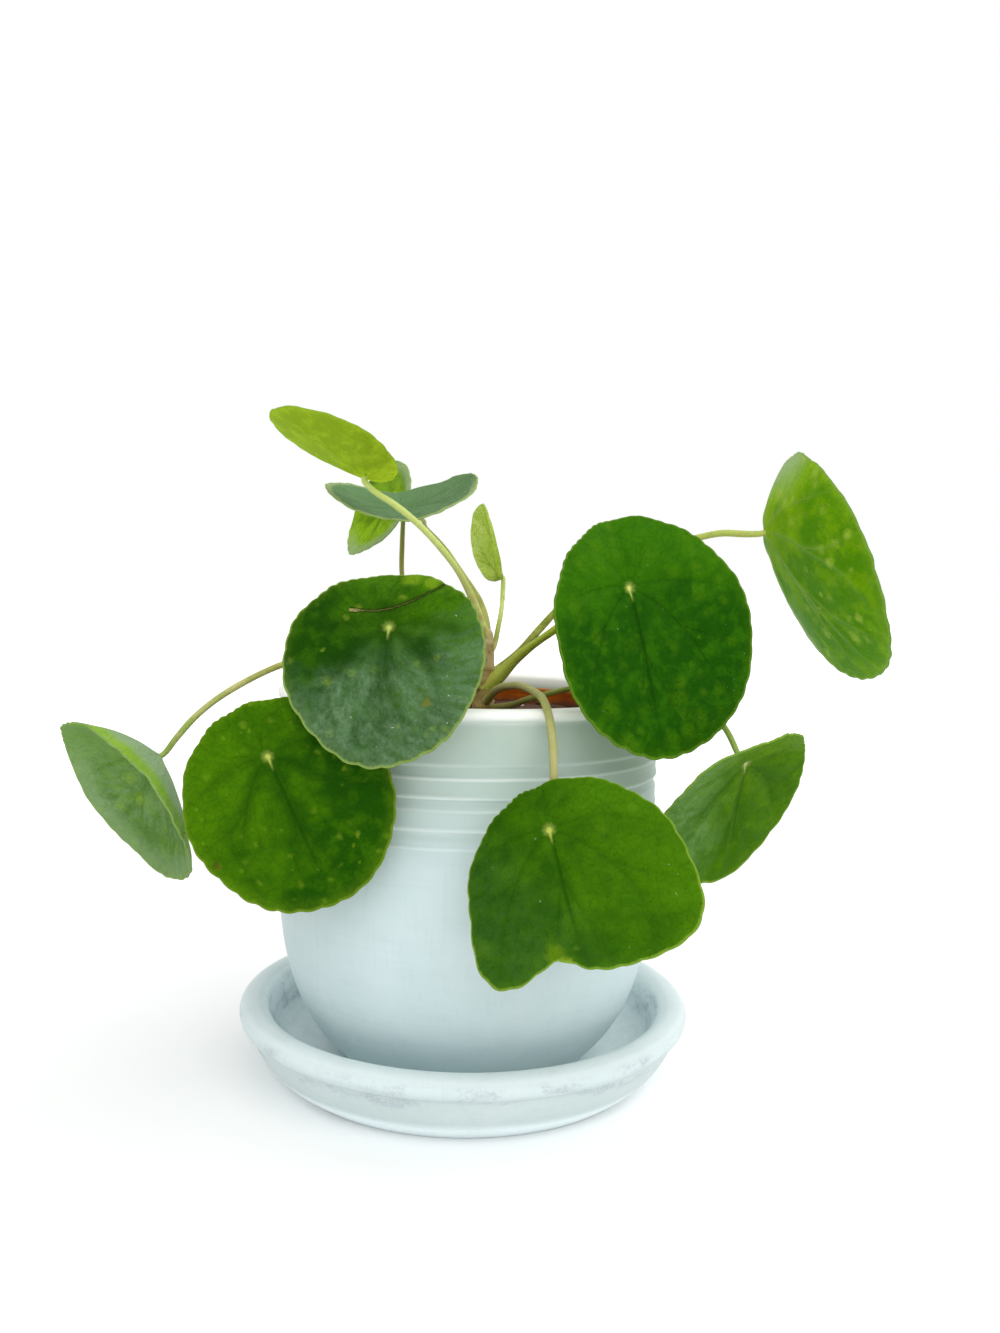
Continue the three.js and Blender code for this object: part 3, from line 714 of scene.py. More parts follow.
def stem_skin(name, foot, middle, top, streak, fleck, roughness=0.45):
    """The skin of a stem: its colour changes from foot to top, with streaks along it and
    flecks on it. Colours are levels from 0 to 255."""
    material, tree = new_material(name)
    place = given(tree, "TexCoord", "Object")
    along = given(tree, "Attribute", "Fac", attribute_name="along")
    tone = mix_colours(along.between(0.05, 0.45), srgb(*foot), srgb(*middle))
    tone = mix_colours(along.between(0.5, 0.97), tone, srgb(*top))
    cloud = mottle(place, 160, detail=4)
    lines = mottle(place, 1600, stretch=(1, 1, 0.12))
    tone = mix_colours(cloud.between(0.42, 0.72), tone, srgb(*streak))
    flecks = place.feed("TexVoronoi", "Distance", {"Vector": place, "Scale": 900})
    tone = mix_colours(flecks.between(0.26, 0.14) * 0.5, tone, srgb(*fleck))
    relief = lines + cloud * 0.8
    rough = cloud.spread(roughness - 0.1, roughness + 0.1)
    shader = shaded(tone, rough, 0.12, relief, 0.45, 0.00025)
    add_node(tree, "OutputMaterial", {"Surface": shader})
    return material


trunk = round_stem(
    "trunk_stem",
    np.array([trunk_axis(z) for z in np.linspace(TRUNK_FOOT, TRUNK_TOP, TRUNK_RINGS)]),
    trunk_radius, sides=36,
)
bark = stem_skin(
    "bark", foot=(152, 134, 50), middle=(168, 146, 84), top=(186, 166, 130),
    streak=(136, 116, 62), fleck=(208, 186, 152), roughness=0.75,
)
trunk.data.materials.append(bark)
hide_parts("trunk")

# Each scale is a small cone pressed flat against the stem, beside one of the upper scars.
scale_brown = crumbly_matter("dry_scale", (146, 104, 72), (184, 146, 108), 900, 0.8)
scales = []
for i in range(1, SCALE_COUNT + 1):
    scar = FIRST_SCAR + i
    turn = 0.5 - scar * SPIRAL_TURN
    bpy.ops.object.select_all(action="DESELECT")
    bpy.ops.mesh.primitive_cone_add(
        vertices=12, radius1=1, radius2=0.12, depth=1, location=(0, 0, 0.5)
    )
    scale = bpy.context.object
    scale.name = "trunk_scale_%02d" % i
    bpy.ops.object.transform_apply(location=True)
    bpy.ops.object.mode_set(mode="EDIT")
    bpy.ops.mesh.select_all(action="SELECT")
    bpy.ops.mesh.subdivide(number_cuts=3)
    bpy.ops.object.mode_set(mode="OBJECT")
    x, y, z = vertices_of(scale).T
    size = SCALE_WIDTH / CONE_WIDEST
    swell = 0.75 + 0.5 * np.sin(np.clip(z, 0, 1) * 2.4)
    outwards = (x * SCALE_FLATTENED * swell + 0.25 * z ** 2) * size + SCALE_FROM_AXIS
    across = y * swell * size
    placed = np.stack([
        outwards * math.cos(turn) - across * math.sin(turn),
        outwards * math.sin(turn) + across * math.cos(turn),
        z * SCALE_LENGTH,
    ], axis=1)
    move_vertices(scale, (placed + trunk_axis(TRUNK_FOOT + scar * SCAR_SPACING)) * MM)
    smooth(scale, 60)
    scale.data.materials.append(scale_brown)
    scales.append(scale)
for piece in (trunk, *scales):
    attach(piece, "root")

# Leaf 1: the young leaf at the upper left, held level, so that its yellow-green underside
# shows from in front. Each blade is one thin sheet that its stalk meets inside the rim.
BLADE_SPOKES = 240
BLADE_RINGS = 46
BLADE_THICKNESS = 0.55
STALK_RINGS = 90
RIM_SCALLOPS = 9
RIM_SCALLOP_SIZE = 0.25
TOOTH_SIZE = 0.6
TOOTH_LENGTH = 4.8
RIM_WAVE_SIZE = 0.4
RIM_ROUNDING = 0.16
GROWN_HALF_LENGTH = 30
VEINS = [(0, 0), (62, 30), (106, 78), (150, 138)]  # degrees from the tip, at stalk and rim
BRANCHES = [(0, 0.35, 15), (1, 0.42, 56)]  # vein, where it forks, degrees at the rim
VEIN_CURVE = 0.85
QUILTING = 0.5
VALLEY_WIDTH = 2.2
BRANCH_VALLEY_WIDTH = 1.8
DIMPLE_DEPTH = 0.6
DIMPLE_RADIUS = 2.2
MAP_SIZE = 100
WINDING = 2.6
LEAF_SHINE = 0.03
LEAF_ROUGHNESS = 0.42
SHEEN_TINT = srgb(190, 210, 180)

bpy.ops.object.select_all(action="DESELECT")
bpy.ops.mesh.primitive_circle_add(vertices=BLADE_SPOKES, radius=1, fill_type="NGON")
flat_disc = bpy.context.object
flat_disc.name = "flat_disc"
bpy.ops.object.mode_set(mode="EDIT")
bpy.ops.mesh.select_all(action="SELECT")
for _ in range(BLADE_RINGS - 1):
    bpy.ops.mesh.inset(thickness=1 / BLADE_RINGS, use_even_offset=True)
bpy.ops.mesh.poke()
bpy.ops.mesh.select_all(action="SELECT")
bpy.ops.mesh.normals_make_consistent(inside=False)
bpy.ops.object.mode_set(mode="OBJECT")
if flat_disc.data.polygons[0].normal.z < 0:
    flat_disc.data.flip_normals()


def leaf_axes(leaf):
    """Directions sideways, towards the tip and out of the upper face, as columns. From level,
    a blade is tilted to the front, turned about the upright, and rolled in its own plane."""
    a, t, r = (math.radians(leaf[key]) for key in ("turn", "tilt", "roll"))
    normal = Vector((math.sin(t) * math.sin(a), -math.sin(t) * math.cos(a), math.cos(t)))
    down = Vector((math.cos(t) * math.sin(a), -math.cos(t) * math.cos(a), -math.sin(t)))
    tip = down * math.cos(r) + normal.cross(down) * math.sin(r)
    return np.array([tip.cross(normal), tip, normal]).T


def rim_distance(leaf, angle):
    """From the stalk to the rim: an ellipse, its scallops, and the leaf's own dents."""
    a, b = leaf["half"]
    cx, cy = leaf["centre"]
    s, c = np.sin(angle), np.cos(angle)
    p = (s / a) ** 2 + (c / b) ** 2
    q = s * cx / a ** 2 + c * cy / b ** 2
    k = (cx / a) ** 2 + (cy / b) ** 2 - 1
    distance = (q + np.sqrt(q * q - p * k)) / p
    age = min(b / GROWN_HALF_LENGTH, 1) ** 2
    distance += RIM_SCALLOP_SIZE * age * np.cos(RIM_SCALLOPS * angle + leaf["turn"])
    for direction, spread, depth in leaf.get("dents", []):
        away = (np.degrees(angle) - direction + 540) % 360 - 180
        distance += depth * np.exp(-(away / spread) ** 2)
    count = round(math.pi * (a + b) / TOOTH_LENGTH)
    seed = leaf["roll"]
    rounded = np.abs(np.cos(count * angle / 2 + seed + 1.2 * np.sin(2 * angle + seed)))
    size = 0.65 + 0.25 * np.cos(angle) + 0.25 * np.sin(3 * angle + seed)
    return distance + TOOTH_SIZE * age * size * (rounded - 0.6)


def face_height(leaf, x, y, u, angle):
    """How far the upper face rises from the stalk: the whole rim by the cup, halfway out by
    the crown, the two sides by the fold, and the tip and the base each by its own amount."""
    a, b = leaf["half"]
    cy = leaf["centre"][1]
    height = leaf["cup"] * u * u + leaf["crown"] * 4 * u * (1 - u)
    height += leaf["fold"] * np.abs(x / a) ** 1.5
    height += leaf["tip"] * (np.maximum(y, 0) / (b + cy)) ** 2
    height += leaf["base"] * (np.maximum(-y, 0) / (b - cy)) ** 2
    age = min(b / GROWN_HALF_LENGTH, 1) ** 2
    return height + RIM_WAVE_SIZE * age * u ** 3 * np.cos(5 * angle + leaf["roll"])


def swells(x, y, length, seed):
    """Gentle rises and falls between -1 and 1, about one length apart."""
    total = 0
    for i in range(6):
        turn = seed * 1.3 + i * 2.4
        wave = math.tau / length * (0.7 + 0.12 * i)
        total = total + np.sin(wave * (x * math.cos(turn) + y * math.sin(turn)) + seed + i * 1.7)
    return total / 6


def vein_distances(x, y, u, seed):
    """How far each point is from each vein on its side of the midrib, in mm. A branch runs
    along its vein and leaves it part of the way to the rim."""
    angle = np.degrees(np.abs(np.arctan2(x, y))) + 6 * u * swells(x, y, 26, seed)
    away = np.hypot(x, y)
    rows = [x + 0.8 * u * swells(x, y, 22, seed)]
    for start, end in VEINS[1:]:
        rows.append(np.radians(angle - start - (end - start) * u ** VEIN_CURVE) * away)
    for vein, fork, end in BRANCHES:
        first, last = VEINS[vein]
        start = first + (last - first) * fork ** VEIN_CURVE
        share = np.clip((u - fork) / (1 - fork), 0, 1)
        shared = first + (last - first) * u ** VEIN_CURVE
        line = np.where(u < fork, shared, start + (end - start) * share ** 0.8)
        rows.append(np.radians(angle - line) * away)
    return rows


def grow_blade(name, leaf):
    """The upper face of a blade, shaped from a copy of the flat disc. Each vertex knows its
    share of the way to the rim and its distances from the veins, and the map "blade" lays
    the face out flat, MAP_SIZE millimetres to the unit."""
    select_only(flat_disc)
    bpy.ops.object.duplicate(linked=False)
    blade = bpy.context.object
    blade.name = name
    disc = vertices_of(blade)
    angle = np.arctan2(disc[:, 0], disc[:, 1])
    u = np.round(np.hypot(disc[:, 0], disc[:, 1]) * BLADE_RINGS) / BLADE_RINGS
    reach = u * rim_distance(leaf, angle)
    x, y = reach * np.sin(angle), reach * np.cos(angle)
    seed = leaf["turn"] * 0.1 + leaf["roll"]
    rows = vein_distances(x, y, u, seed)
    main = np.min(np.abs(rows[:len(VEINS)]), axis=0)
    side = np.min(np.abs(rows[len(VEINS):]), axis=0)
    main_valley = np.exp(-(main / VALLEY_WIDTH) ** 2)
    branch_valley = np.exp(-(side / BRANCH_VALLEY_WIDTH) ** 2)
    quilt = np.minimum(1 - main_valley, 1.3 - branch_valley)
    z = face_height(leaf, x, y, u, angle)
    z += QUILTING * leaf.get("quilted", 1) * quilt * np.clip(u * 3, 0, 1) * (1 - 0.6 * u ** 4)
    z += 0.35 * swells(x, y, 13, seed + 2) * u
    z += 0.22 * swells(x, y, 5.5, seed + 5) * u ** 2
    z -= DIMPLE_DEPTH * np.exp(-(reach / DIMPLE_RADIUS) ** 2)
    move_vertices(blade, np.stack([x, y, z], axis=1))
    blade.data.attributes.new("rim", "FLOAT", "POINT").data.foreach_set("value", u)
    for label, three in (("veins", rows[:3]), ("more_veins", rows[3:6])):
        mark = blade.data.attributes.new(label, "FLOAT_VECTOR", "POINT")
        mark.data.foreach_set("vector", np.stack(three, axis=1).ravel())
    corners = np.empty(len(blade.data.loops), dtype=int)
    blade.data.loops.foreach_get("vertex_index", corners)
    layout = np.stack([x, y], axis=1)[corners] / MAP_SIZE + 0.5
    blade.data.uv_layers.new(name="blade").data.foreach_set("uv", layout.ravel())
    return blade


def thicken(blade, cutter=None):
    """The blade's thickness, under its upper face, with the rim rounded over. A torn blade
    has a thin wedge cut out of it first."""
    select_only(blade)
    body = blade.modifiers.new("body", "SOLIDIFY")
    body.thickness = BLADE_THICKNESS
    body.offset = -1
    body.use_even_offset = False
    body.material_offset = 1
    bpy.ops.object.modifier_apply(modifier="body")
    if cutter:
        cut = blade.modifiers.new("cut", "BOOLEAN")
        cut.operation = "DIFFERENCE"
        cut.solver = "EXACT"
        cut.object = cutter
        bpy.ops.object.modifier_apply(modifier="cut")
        bpy.data.objects.remove(cutter)
    edge = blade.modifiers.new("rim", "BEVEL")
    edge.width = RIM_ROUNDING
    edge.segments = 2
    edge.limit_method = "ANGLE"
    edge.angle_limit = math.radians(60)
    bpy.ops.object.modifier_apply(modifier="rim")


def put_in_place(blade, leaf):
    co = vertices_of(blade) @ leaf_axes(leaf).T + np.array(leaf["at"])
    move_vertices(blade, co * MM)
    smooth(blade, 60)


def leaf_skin(
    name, seed, deep, bright, spots, vein, leaf_edge_highlight, through,
    spotted=0.3, spot_size=5, spot_reach=0.45, veins=0.6, valley=1.9, line=0.6, spine=0.5,
    raised=-1, lit_side=180, painted_light_slope=0.014, blotched=0.4, streaked=0.2, dots=0, dust=0,
    painted_sheen=None, painted_sheen_amount=0, painted_sheen_side=180, painted_sheen_from=0, painted_rim_sheen=None, marks=(), star=None,
    thin=0.35, sheen=0, dry=None,
):
    """The skin of one face of a blade: cloudy green, with painted light that makes it brighter
    towards one side, with fibres that run outwards, soft pale spots, and veins that are sunken or
    raised. Where they are asked for, there are a painted grey sheen over one side, a painted
    sheen in a band near the rim, marks at given places, dark pores, pale grains of dust, a pale
    star at the stalk and the dried edges of a tear. A thin pale line at the very edge, a painted
    highlight, comes last, and light shines through the blade.
    Colours are levels from 0 to 255, sides degrees from the tip, and sizes millimetres."""
    deep, bright, spots, vein = (srgb(*levels) for levels in (deep, bright, spots, vein))
    material, tree = new_material(name)
    flat = given(tree, "UVMap", "UV", uv_map="blade")
    place = flat.vector(
        "MULTIPLY_ADD", (MAP_SIZE, MAP_SIZE, 0), (-MAP_SIZE / 2, -MAP_SIZE / 2, seed * 7)
    )
    rim = given(tree, "Attribute", "Fac", attribute_name="rim")
    from_stalk = place.vector("MULTIPLY", (1, 1, 0))
    away = from_stalk.vector("LENGTH", output="Value")

    def towards(side):
        aim = math.radians(side)
        direction = (math.sin(aim), math.cos(aim), 0)
        return from_stalk.vector("DOT_PRODUCT", direction, output="Value")

    # each vein is a thin line in a wider valley, and fades towards the rim and the base
    tipwards = towards(0)
    distances = []
    for label in ("veins", "more_veins"):
        three = given(tree, "Attribute", "Vector", attribute_name=label)
        distances += three.vector("ABSOLUTE").split()
    midrib = nearest = distances[0]
    for distance in distances[1:]:
        nearest = nearest.reckon("MINIMUM", nearest, distance)
    crease = nearest.between(0.5, 0.1) * line + nearest.between(valley, 0.2) * (1 - line)
    crease = crease * rim.between(1.1, 0.4) * tipwards.spread(0.3, 1, -6, 4)
    ridge = midrib.between(0.6, 0.15) * spine * tipwards.between(0, 4) * rim.between(0.95, 0.4)
    wander = place.feed("TexNoise", "Color", {"Vector": place, "Scale": 0.4, "Detail": 3})
    winding = wander.vector("MULTIPLY_ADD", (WINDING, WINDING, WINDING), place)
    net = winding.feed("TexVoronoi", "Distance", {
        "Vector": winding, "Scale": 0.3,
    }, feature="DISTANCE_TO_EDGE")
    netted = net.between(0.09, 0.01)

    # the green under all else, clouded, with painted light that makes it brighter on the lit side
    cloud = mottle(place, 0.07, detail=2)
    small = mottle(place, 0.9, detail=4)
    outwards = from_stalk.vector("NORMALIZE").vector("MULTIPLY_ADD", (11, 11, 11), away * 0.16)
    fibres = mottle(outwards, 1)
    lit = cloud + towards(lit_side) * painted_light_slope
    tone = mix_colours(lit.between(0.25, 0.75), deep, bright)
    tone = mix_colours(mottle(place, 0.17).between(0.44, 0.66) * blotched, tone, bright)
    tone = mix_colours(rim.between(0.88, 1) * 0.16, tone, spots)

    # soft spots of many sizes, and the veins over them
    cells = add_node(tree, "TexVoronoi", {"Vector": winding, "Scale": 1 / spot_size}).outputs
    chance = Field(cells["Color"]).split()[0]
    speck = Field(cells["Distance"]).between(chance.spread(0.1, spot_reach, start=0.1), 0.04)
    speck = speck * rim.between(0.2, 0.55) * small.between(0.25, 0.55) * spotted
    tone = mix_colours(speck, tone, spots)
    tone = mix_colours(small.between(0.4, 0.75) * 0.25, tone, deep)
    tone = mix_colours(fibres.between(0.42, 0.7) * streaked, tone, deep)
    tone = mix_colours(netted * (0.16 * veins), tone, vein)
    tone = mix_colours(crease * veins, tone, vein)
    tone = mix_colours(ridge, tone, vein)

    # what lies on the skin, and the painted sheen over it
    # painted sheen: a grey veil over one side where the blade would reflect the bright room, kept
    # out of the vein valleys
    if painted_sheen:
        painted_sheen_mask = towards(painted_sheen_side) + (cloud - 0.5) * 26
        painted_sheen_mask = painted_sheen_mask.between(painted_sheen_from - 9, painted_sheen_from + 12) * painted_sheen_amount
        painted_sheen_mask = painted_sheen_mask * small.spread(0.5, 1, 0.3, 0.65) * fibres.spread(0.4, 1, 0.35, 0.62)
        tone = mix_colours(painted_sheen_mask * (1 - crease * 0.6), tone, srgb(*painted_sheen))
        tone = mix_colours(speck * 0.6, tone, spots)
    # painted sheen in a band near the rim, where the curving blade is seen at a grazing angle and
    # catches the light
    if painted_rim_sheen:
        painted_rim_sheen_tone, amount, painted_rim_sheen_side, from_rim, to_rim = painted_rim_sheen
        band = (rim + small * 0.12).between(from_rim, to_rim) * amount
        band = band * towards(painted_rim_sheen_side).between(-14, 2)
        tone = mix_colours(band, tone, srgb(*painted_rim_sheen_tone))
    for x, y, size, mark_tone in marks:
        middle = (x + WINDING / 2, y + WINDING / 2, 0)
        off = winding.vector("MULTIPLY", (1, 1, 0)).vector("DISTANCE", middle, output="Value")
        tone = mix_colours(off.between(size, 0.3 * size) * 0.75, tone, srgb(*mark_tone))
    if dots:
        pores = place.feed("TexVoronoi", "Distance", {"Vector": place, "Scale": 0.32})
        pore_tone = (*(0.45 * c for c in deep[:3]), 1)
        tone = mix_colours(pores.between(0.18, 0.1) * dots, tone, pore_tone)
    if dust:
        grains = winding.feed("TexVoronoi", "Distance", {"Vector": winding, "Scale": 0.21})
        tone = mix_colours(grains.between(0.05, 0.03) * dust, tone, srgb(226, 232, 220))
    if star:
        star = srgb(*star)
        tone = mix_colours((away + nearest * 0.5).between(2.7, 0.6) * 0.4, tone, star)
        tone = mix_colours(away.between(1.1, 0.3) * 0.9, tone, star)
        stripe = midrib.between(0.6, 0.1) * tipwards.between(5, 1) * tipwards.between(-0.5, 0.5)
        tone = mix_colours(stripe * 0.6, tone, star)
    # painted highlight: a thin pale line at the very edge, where the edge catches the light
    edge = rim + small * 0.02
    tone = mix_colours(edge.between(0.985, 1.003) * 0.7, tone, srgb(*leaf_edge_highlight))
    shining = mix_colours(0.55, tone, srgb(*through))
    if dry:
        tone, shining = dry(place, tone), dry(place, shining)

    # pebbled relief, gloss, and the light that comes through
    relief = crease * (1.2 * raised) + mottle(place, 0.75, detail=5)
    relief = relief + ridge * (1.5 * raised) + netted * (0.4 * raised) + small * 0.9
    bump = relief.feed("Bump", "Normal", {"Height": relief, "Strength": 0.7, "Distance": 0.0004})
    sheet = tone.feed("BsdfPrincipled", "BSDF", {
        "Base Color": tone,
        "Roughness": small.spread(LEAF_ROUGHNESS - 0.1, LEAF_ROUGHNESS + 0.14),
        "Specular IOR Level": LEAF_SHINE,
        "Sheen Weight": sheen,
        "Sheen Roughness": 0.35,
        "Sheen Tint": SHEEN_TINT,
        "Normal": bump,
    })
    glow = shining.feed("BsdfTranslucent", "BSDF", {"Color": shining, "Normal": bump})
    both = tone.feed("MixShader", "Shader", {0: thin, 1: sheet, 2: glow})
    add_node(tree, "OutputMaterial", {"Surface": both})
    return material


def curve_through(knots, count):
    """Evenly spaced points on a centripetal Catmull-Rom curve through the knots."""
    knots = [np.array(knot, dtype=float) for knot in knots]
    knots = [2 * knots[0] - knots[1], *knots, 2 * knots[-1] - knots[-2]]
    fine = []
    for a, b, c, d in zip(knots, knots[1:], knots[2:], knots[3:]):
        ab, bc, cd = (math.sqrt(np.linalg.norm(q - p)) for p, q in ((a, b), (b, c), (c, d)))
        start = ((b - a) / ab - (c - a) / (ab + bc) + (c - b) / bc) * bc
        end = ((c - b) / bc - (d - b) / (bc + cd) + (d - c) / cd) * bc
        for s in np.linspace(0, 1, 40, endpoint=False):
            bulge = (-3 * b + 3 * c - 2 * start - end) * s * s
            fine.append(b + start * s + bulge + (2 * b - 2 * c + start + end) * s ** 3)
    fine = np.array([*fine, knots[-2]])
    travelled = np.concatenate([[0], np.cumsum(np.linalg.norm(np.diff(fine, axis=0), axis=1))])
    even = np.linspace(0, travelled[-1], count)
    return np.stack([np.interp(even, travelled, fine[:, i]) for i in range(3)], axis=1)


def grow_stalk(name, leaf):
    """The stalk, from the middle of the trunk to the underside of its blade."""
    normal = leaf_axes(leaf)[:, 2]
    end = np.array(leaf["at"]) - normal * 0.7
    neck = end - normal * leaf["neck"]
    path = curve_through([trunk_axis(leaf["root"]), *leaf["via"], neck, end], STALK_RINGS)
    length = np.linalg.norm(np.diff(path, axis=0), axis=1).sum()
    foot, top = (d / 2 for d in leaf["stalk"])
    seed = leaf["turn"]

    def radius_at(share, turn):
        radius = foot + (top - foot) * np.minimum(share * 3, 1)
        radius = radius * (1 + 0.3 * np.exp(-share * length / 3.5))
        radius = radius * (1 - 0.15 * np.exp(-(1 - share) * length / 4))
        knobbly = 1 + 0.025 * np.sin(share * length / 2.9 + seed)
        return radius * knobbly * (1 + 0.02 * np.cos(5 * turn + seed))

    return round_stem(name, path, radius_at)


def finish_leaf(count, leaf, face, underside, stalk_tones, cutter=None):
    """Makes a blade and its stalk, and puts their skins on."""
    number = "%02d" % count
    blade = grow_blade("leaf_blade_" + number, leaf)
    blade.data.materials.append(leaf_skin("leaf_%d_face" % count, count, **face))
    under = leaf_skin("leaf_%d_underside" % count, count, raised=1, **underside)
    blade.data.materials.append(under)
    thicken(blade, cutter)
    put_in_place(blade, leaf)
    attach(blade, "root")
    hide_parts("blade_" + number)
    stalk = grow_stalk("leaf_stalk_" + number, leaf)
    stalk.data.materials.append(stem_skin("stalk_skin_" + number, **stalk_tones))
    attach(stalk, "root")
    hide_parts("stalk_" + number)


# A blade starts at "at" and is turned, tilted and rolled in degrees. Its rim is an ellipse
# of two half sizes about a centre off the stalk. The stalk leaves the trunk at the height
# "root", goes via some points, has two thicknesses, and ends in a straight neck.
LEAF_1 = {
    "at": (-37, 10, 197.5), "turn": 134, "tilt": 26, "roll": 168,
    "half": (21.2, 23.2), "centre": (2.5, 13.8),
    "cup": 4, "crown": 0.5, "fold": 1.5, "tip": 0.5, "base": -0.5,
    "root": 143.5, "stalk": (3, 2.2), "neck": 1.2, "quilted": 0.4,
    "via": [(-0.7, -3, 158), (-5.1, -4, 166), (-11.2, -4, 173.7), (-18.5, -2, 181),
            (-26.6, 2, 187.3), (-34, 6.5, 192)],
}
finish_leaf(
    1, LEAF_1,
    face=dict(
        deep=(92, 140, 14), bright=(128, 170, 30), spots=(160, 192, 60), vein=(170, 198, 80),
        leaf_edge_highlight=(150, 180, 70), through=(240, 250, 150), star=(214, 228, 130), veins=0.4, thin=0.7,
    ),
    underside=dict(
        deep=(112, 154, 12), bright=(222, 246, 66), spots=(214, 236, 90), vein=(124, 164, 20),
        leaf_edge_highlight=(120, 160, 20), through=(246, 254, 130), spotted=0.25, veins=0.35, line=0.8,
        painted_light_slope=0.034, blotched=0.3, streaked=0.06, dots=0.9, thin=0.7,
    ),
    stalk_tones=dict(
        foot=(170, 156, 100), middle=(184, 196, 112), top=(184, 200, 112), streak=(196, 210, 124),
        fleck=(160, 170, 92),
    ),
)

# Leaf 2: the dark leaf at the front, left of the middle, with a painted grey sheen. An old
# tear with dried brown edges runs in from its rim, above the stalk.
LEAF_2 = {
    "at": (-23.5, -62, 150), "turn": -8, "tilt": 60, "roll": 1,
    "half": (28, 29.5), "centre": (-0.5, 11),
    "cup": -0.8, "crown": 0.6, "fold": 6.5, "tip": -5, "base": -2.2,
    "root": 136.5, "stalk": (2.8, 2.2), "neck": 2.6,
    "via": [(-2, -12, 140), (-9, -28, 142), (-17, -45, 142.5)],
}
TEAR_FROM = -19
TEAR_TO = 10.4
TEAR_END_Y = -4.1
TEAR_DROP = 11.9
TEAR_SPAN = 28.4
TEAR_WIDTH = 0.3
TEAR_DEPTH = 14

bpy.ops.object.select_all(action="DESELECT")
bpy.ops.mesh.primitive_grid_add(x_subdivisions=60, y_subdivisions=1, size=1)
wedge = bpy.context.object
wedge.name = "tear_wedge"
co = vertices_of(wedge)
share = co[:, 0] + 0.5
x = TEAR_FROM + (TEAR_TO - TEAR_FROM) * share
ragged = 0.12 * np.sin(x * 3.1) + 0.06 * np.sin(x * 7.3 + 1)
half = TEAR_WIDTH / 2 * (1 - 0.7 * share) + 0.35 * np.clip(1 - share * 14, 0, 1)
y = TEAR_END_Y - TEAR_DROP * ((TEAR_TO - x) / TEAR_SPAN) ** 2
y += ragged + np.sign(co[:, 1]) * half
move_vertices(wedge, np.stack([x, y, np.full(len(x), -TEAR_DEPTH / 2)], axis=1))
bpy.ops.object.mode_set(mode="EDIT")
bpy.ops.mesh.select_all(action="SELECT")
bpy.ops.mesh.extrude_region_move(TRANSFORM_OT_translate={"value": (0, 0, TEAR_DEPTH)})
bpy.ops.mesh.select_all(action="SELECT")
bpy.ops.mesh.normals_make_consistent(inside=False)
bpy.ops.object.mode_set(mode="OBJECT")


def brown_tear(place, colour):
    """Dries a colour to brown along both edges of the tear, and to tan at its inner end."""
    x, y, _ = place.split()
    back = (TEAR_TO - x) / TEAR_SPAN
    line = TEAR_END_Y - back * back * TEAR_DROP
    off = abs(y - line) - mottle(place, 1.2, detail=4) * 0.25
    off = off - x.between(TEAR_TO - 2.4, TEAR_TO - 0.8) * 0.25
    within = x.reckon("LESS_THAN", x, TEAR_TO + 0.9)
    scorched = off.between(0.75, 0.3) * within
    dried = off.between(0.16, 0.04) * within
    tan = mix_colours(x.between(TEAR_TO - 5, TEAR_TO), srgb(100, 104, 44), srgb(156, 148, 94))
    return mix_colours(dried, mix_colours(scorched * 0.75, colour, srgb(28, 40, 6)), tan)


finish_leaf(
    2, LEAF_2,
    face=dict(
        deep=(26, 70, 1), bright=(68, 118, 4), spots=(122, 150, 40), vein=(24, 60, 4),
        leaf_edge_highlight=(150, 176, 84), through=(110, 160, 10), star=(196, 212, 104), spotted=0.6,
        spot_size=5.5, valley=3.8, line=0.15, spine=0.15, lit_side=-140, streaked=0.35, dots=0.15,
        dust=0.8, painted_sheen=(106, 138, 100), painted_sheen_amount=0.95, painted_sheen_side=-20, painted_sheen_from=9,
        marks=[
            (-13, 23.5, 1.6, (120, 122, 50)), (-5, -16.5, 4.5, (124, 162, 26)),
            (-11, -14.5, 3.5, (124, 162, 26)),
        ],
        thin=0.25, dry=brown_tear,
    ),
    underside=dict(
        deep=(92, 132, 50), bright=(118, 156, 70), spots=(138, 172, 84), vein=(160, 186, 112),
        leaf_edge_highlight=(130, 152, 90), through=(110, 160, 20), thin=0.25, dry=brown_tear,
    ),
    stalk_tones=dict(
        foot=(146, 126, 84), middle=(128, 150, 62), top=(120, 150, 58), streak=(160, 178, 92),
        fleck=(110, 110, 60),
    ),
    cutter=wedge,
)

# Leaf 3: the leaf at the far left, a shallow cone that hangs with its upper face turned
# down and to the left. The strip of its rim on the right folds back and shows its underside.
LEAF_3 = {
    "at": (-95, -35, 107), "turn": -47, "tilt": 119, "roll": 0,
    "half": (28, 29.5), "centre": (4, 7.5),
    "cup": 14, "crown": 1.5, "fold": 0, "tip": -0.5, "base": 1.5,
    "root": 131.5, "stalk": (2.8, 2), "neck": 2,
    "via": [(-8, -4, 137), (-24, -9, 140.5), (-41, -15, 140), (-58.8, -21, 135.6),
            (-75, -28, 127.2), (-84.1, -31, 119.9), (-90, -33, 112.8)],
}
finish_leaf(
    3, LEAF_3,
    face=dict(
        deep=(76, 124, 22), bright=(124, 170, 52), spots=(150, 186, 50), vein=(84, 126, 48),
        leaf_edge_highlight=(150, 178, 100), through=(140, 190, 30), star=(206, 222, 130), spotted=0.7,
        spot_size=9, veins=0.3, spine=0.2, blotched=0.7, streaked=0.6, painted_sheen=(156, 182, 138),
        painted_sheen_amount=0.6, painted_sheen_from=-30, painted_rim_sheen=((172, 198, 152), 0.45, 0, 0.8, 1),
    ),
    underside=dict(
        deep=(118, 164, 24), bright=(156, 198, 50), spots=(160, 196, 70), vein=(160, 192, 90),
        leaf_edge_highlight=(150, 178, 120), through=(150, 200, 30), spotted=0.45, veins=0.4,
        painted_rim_sheen=((160, 184, 150), 0.85, -135, 1, 0.72), sheen=0.35,
    ),
    stalk_tones=dict(
        foot=(150, 128, 88), middle=(164, 160, 88), top=(150, 170, 84), streak=(188, 184, 120),
        fleck=(140, 126, 74),
    ),
)

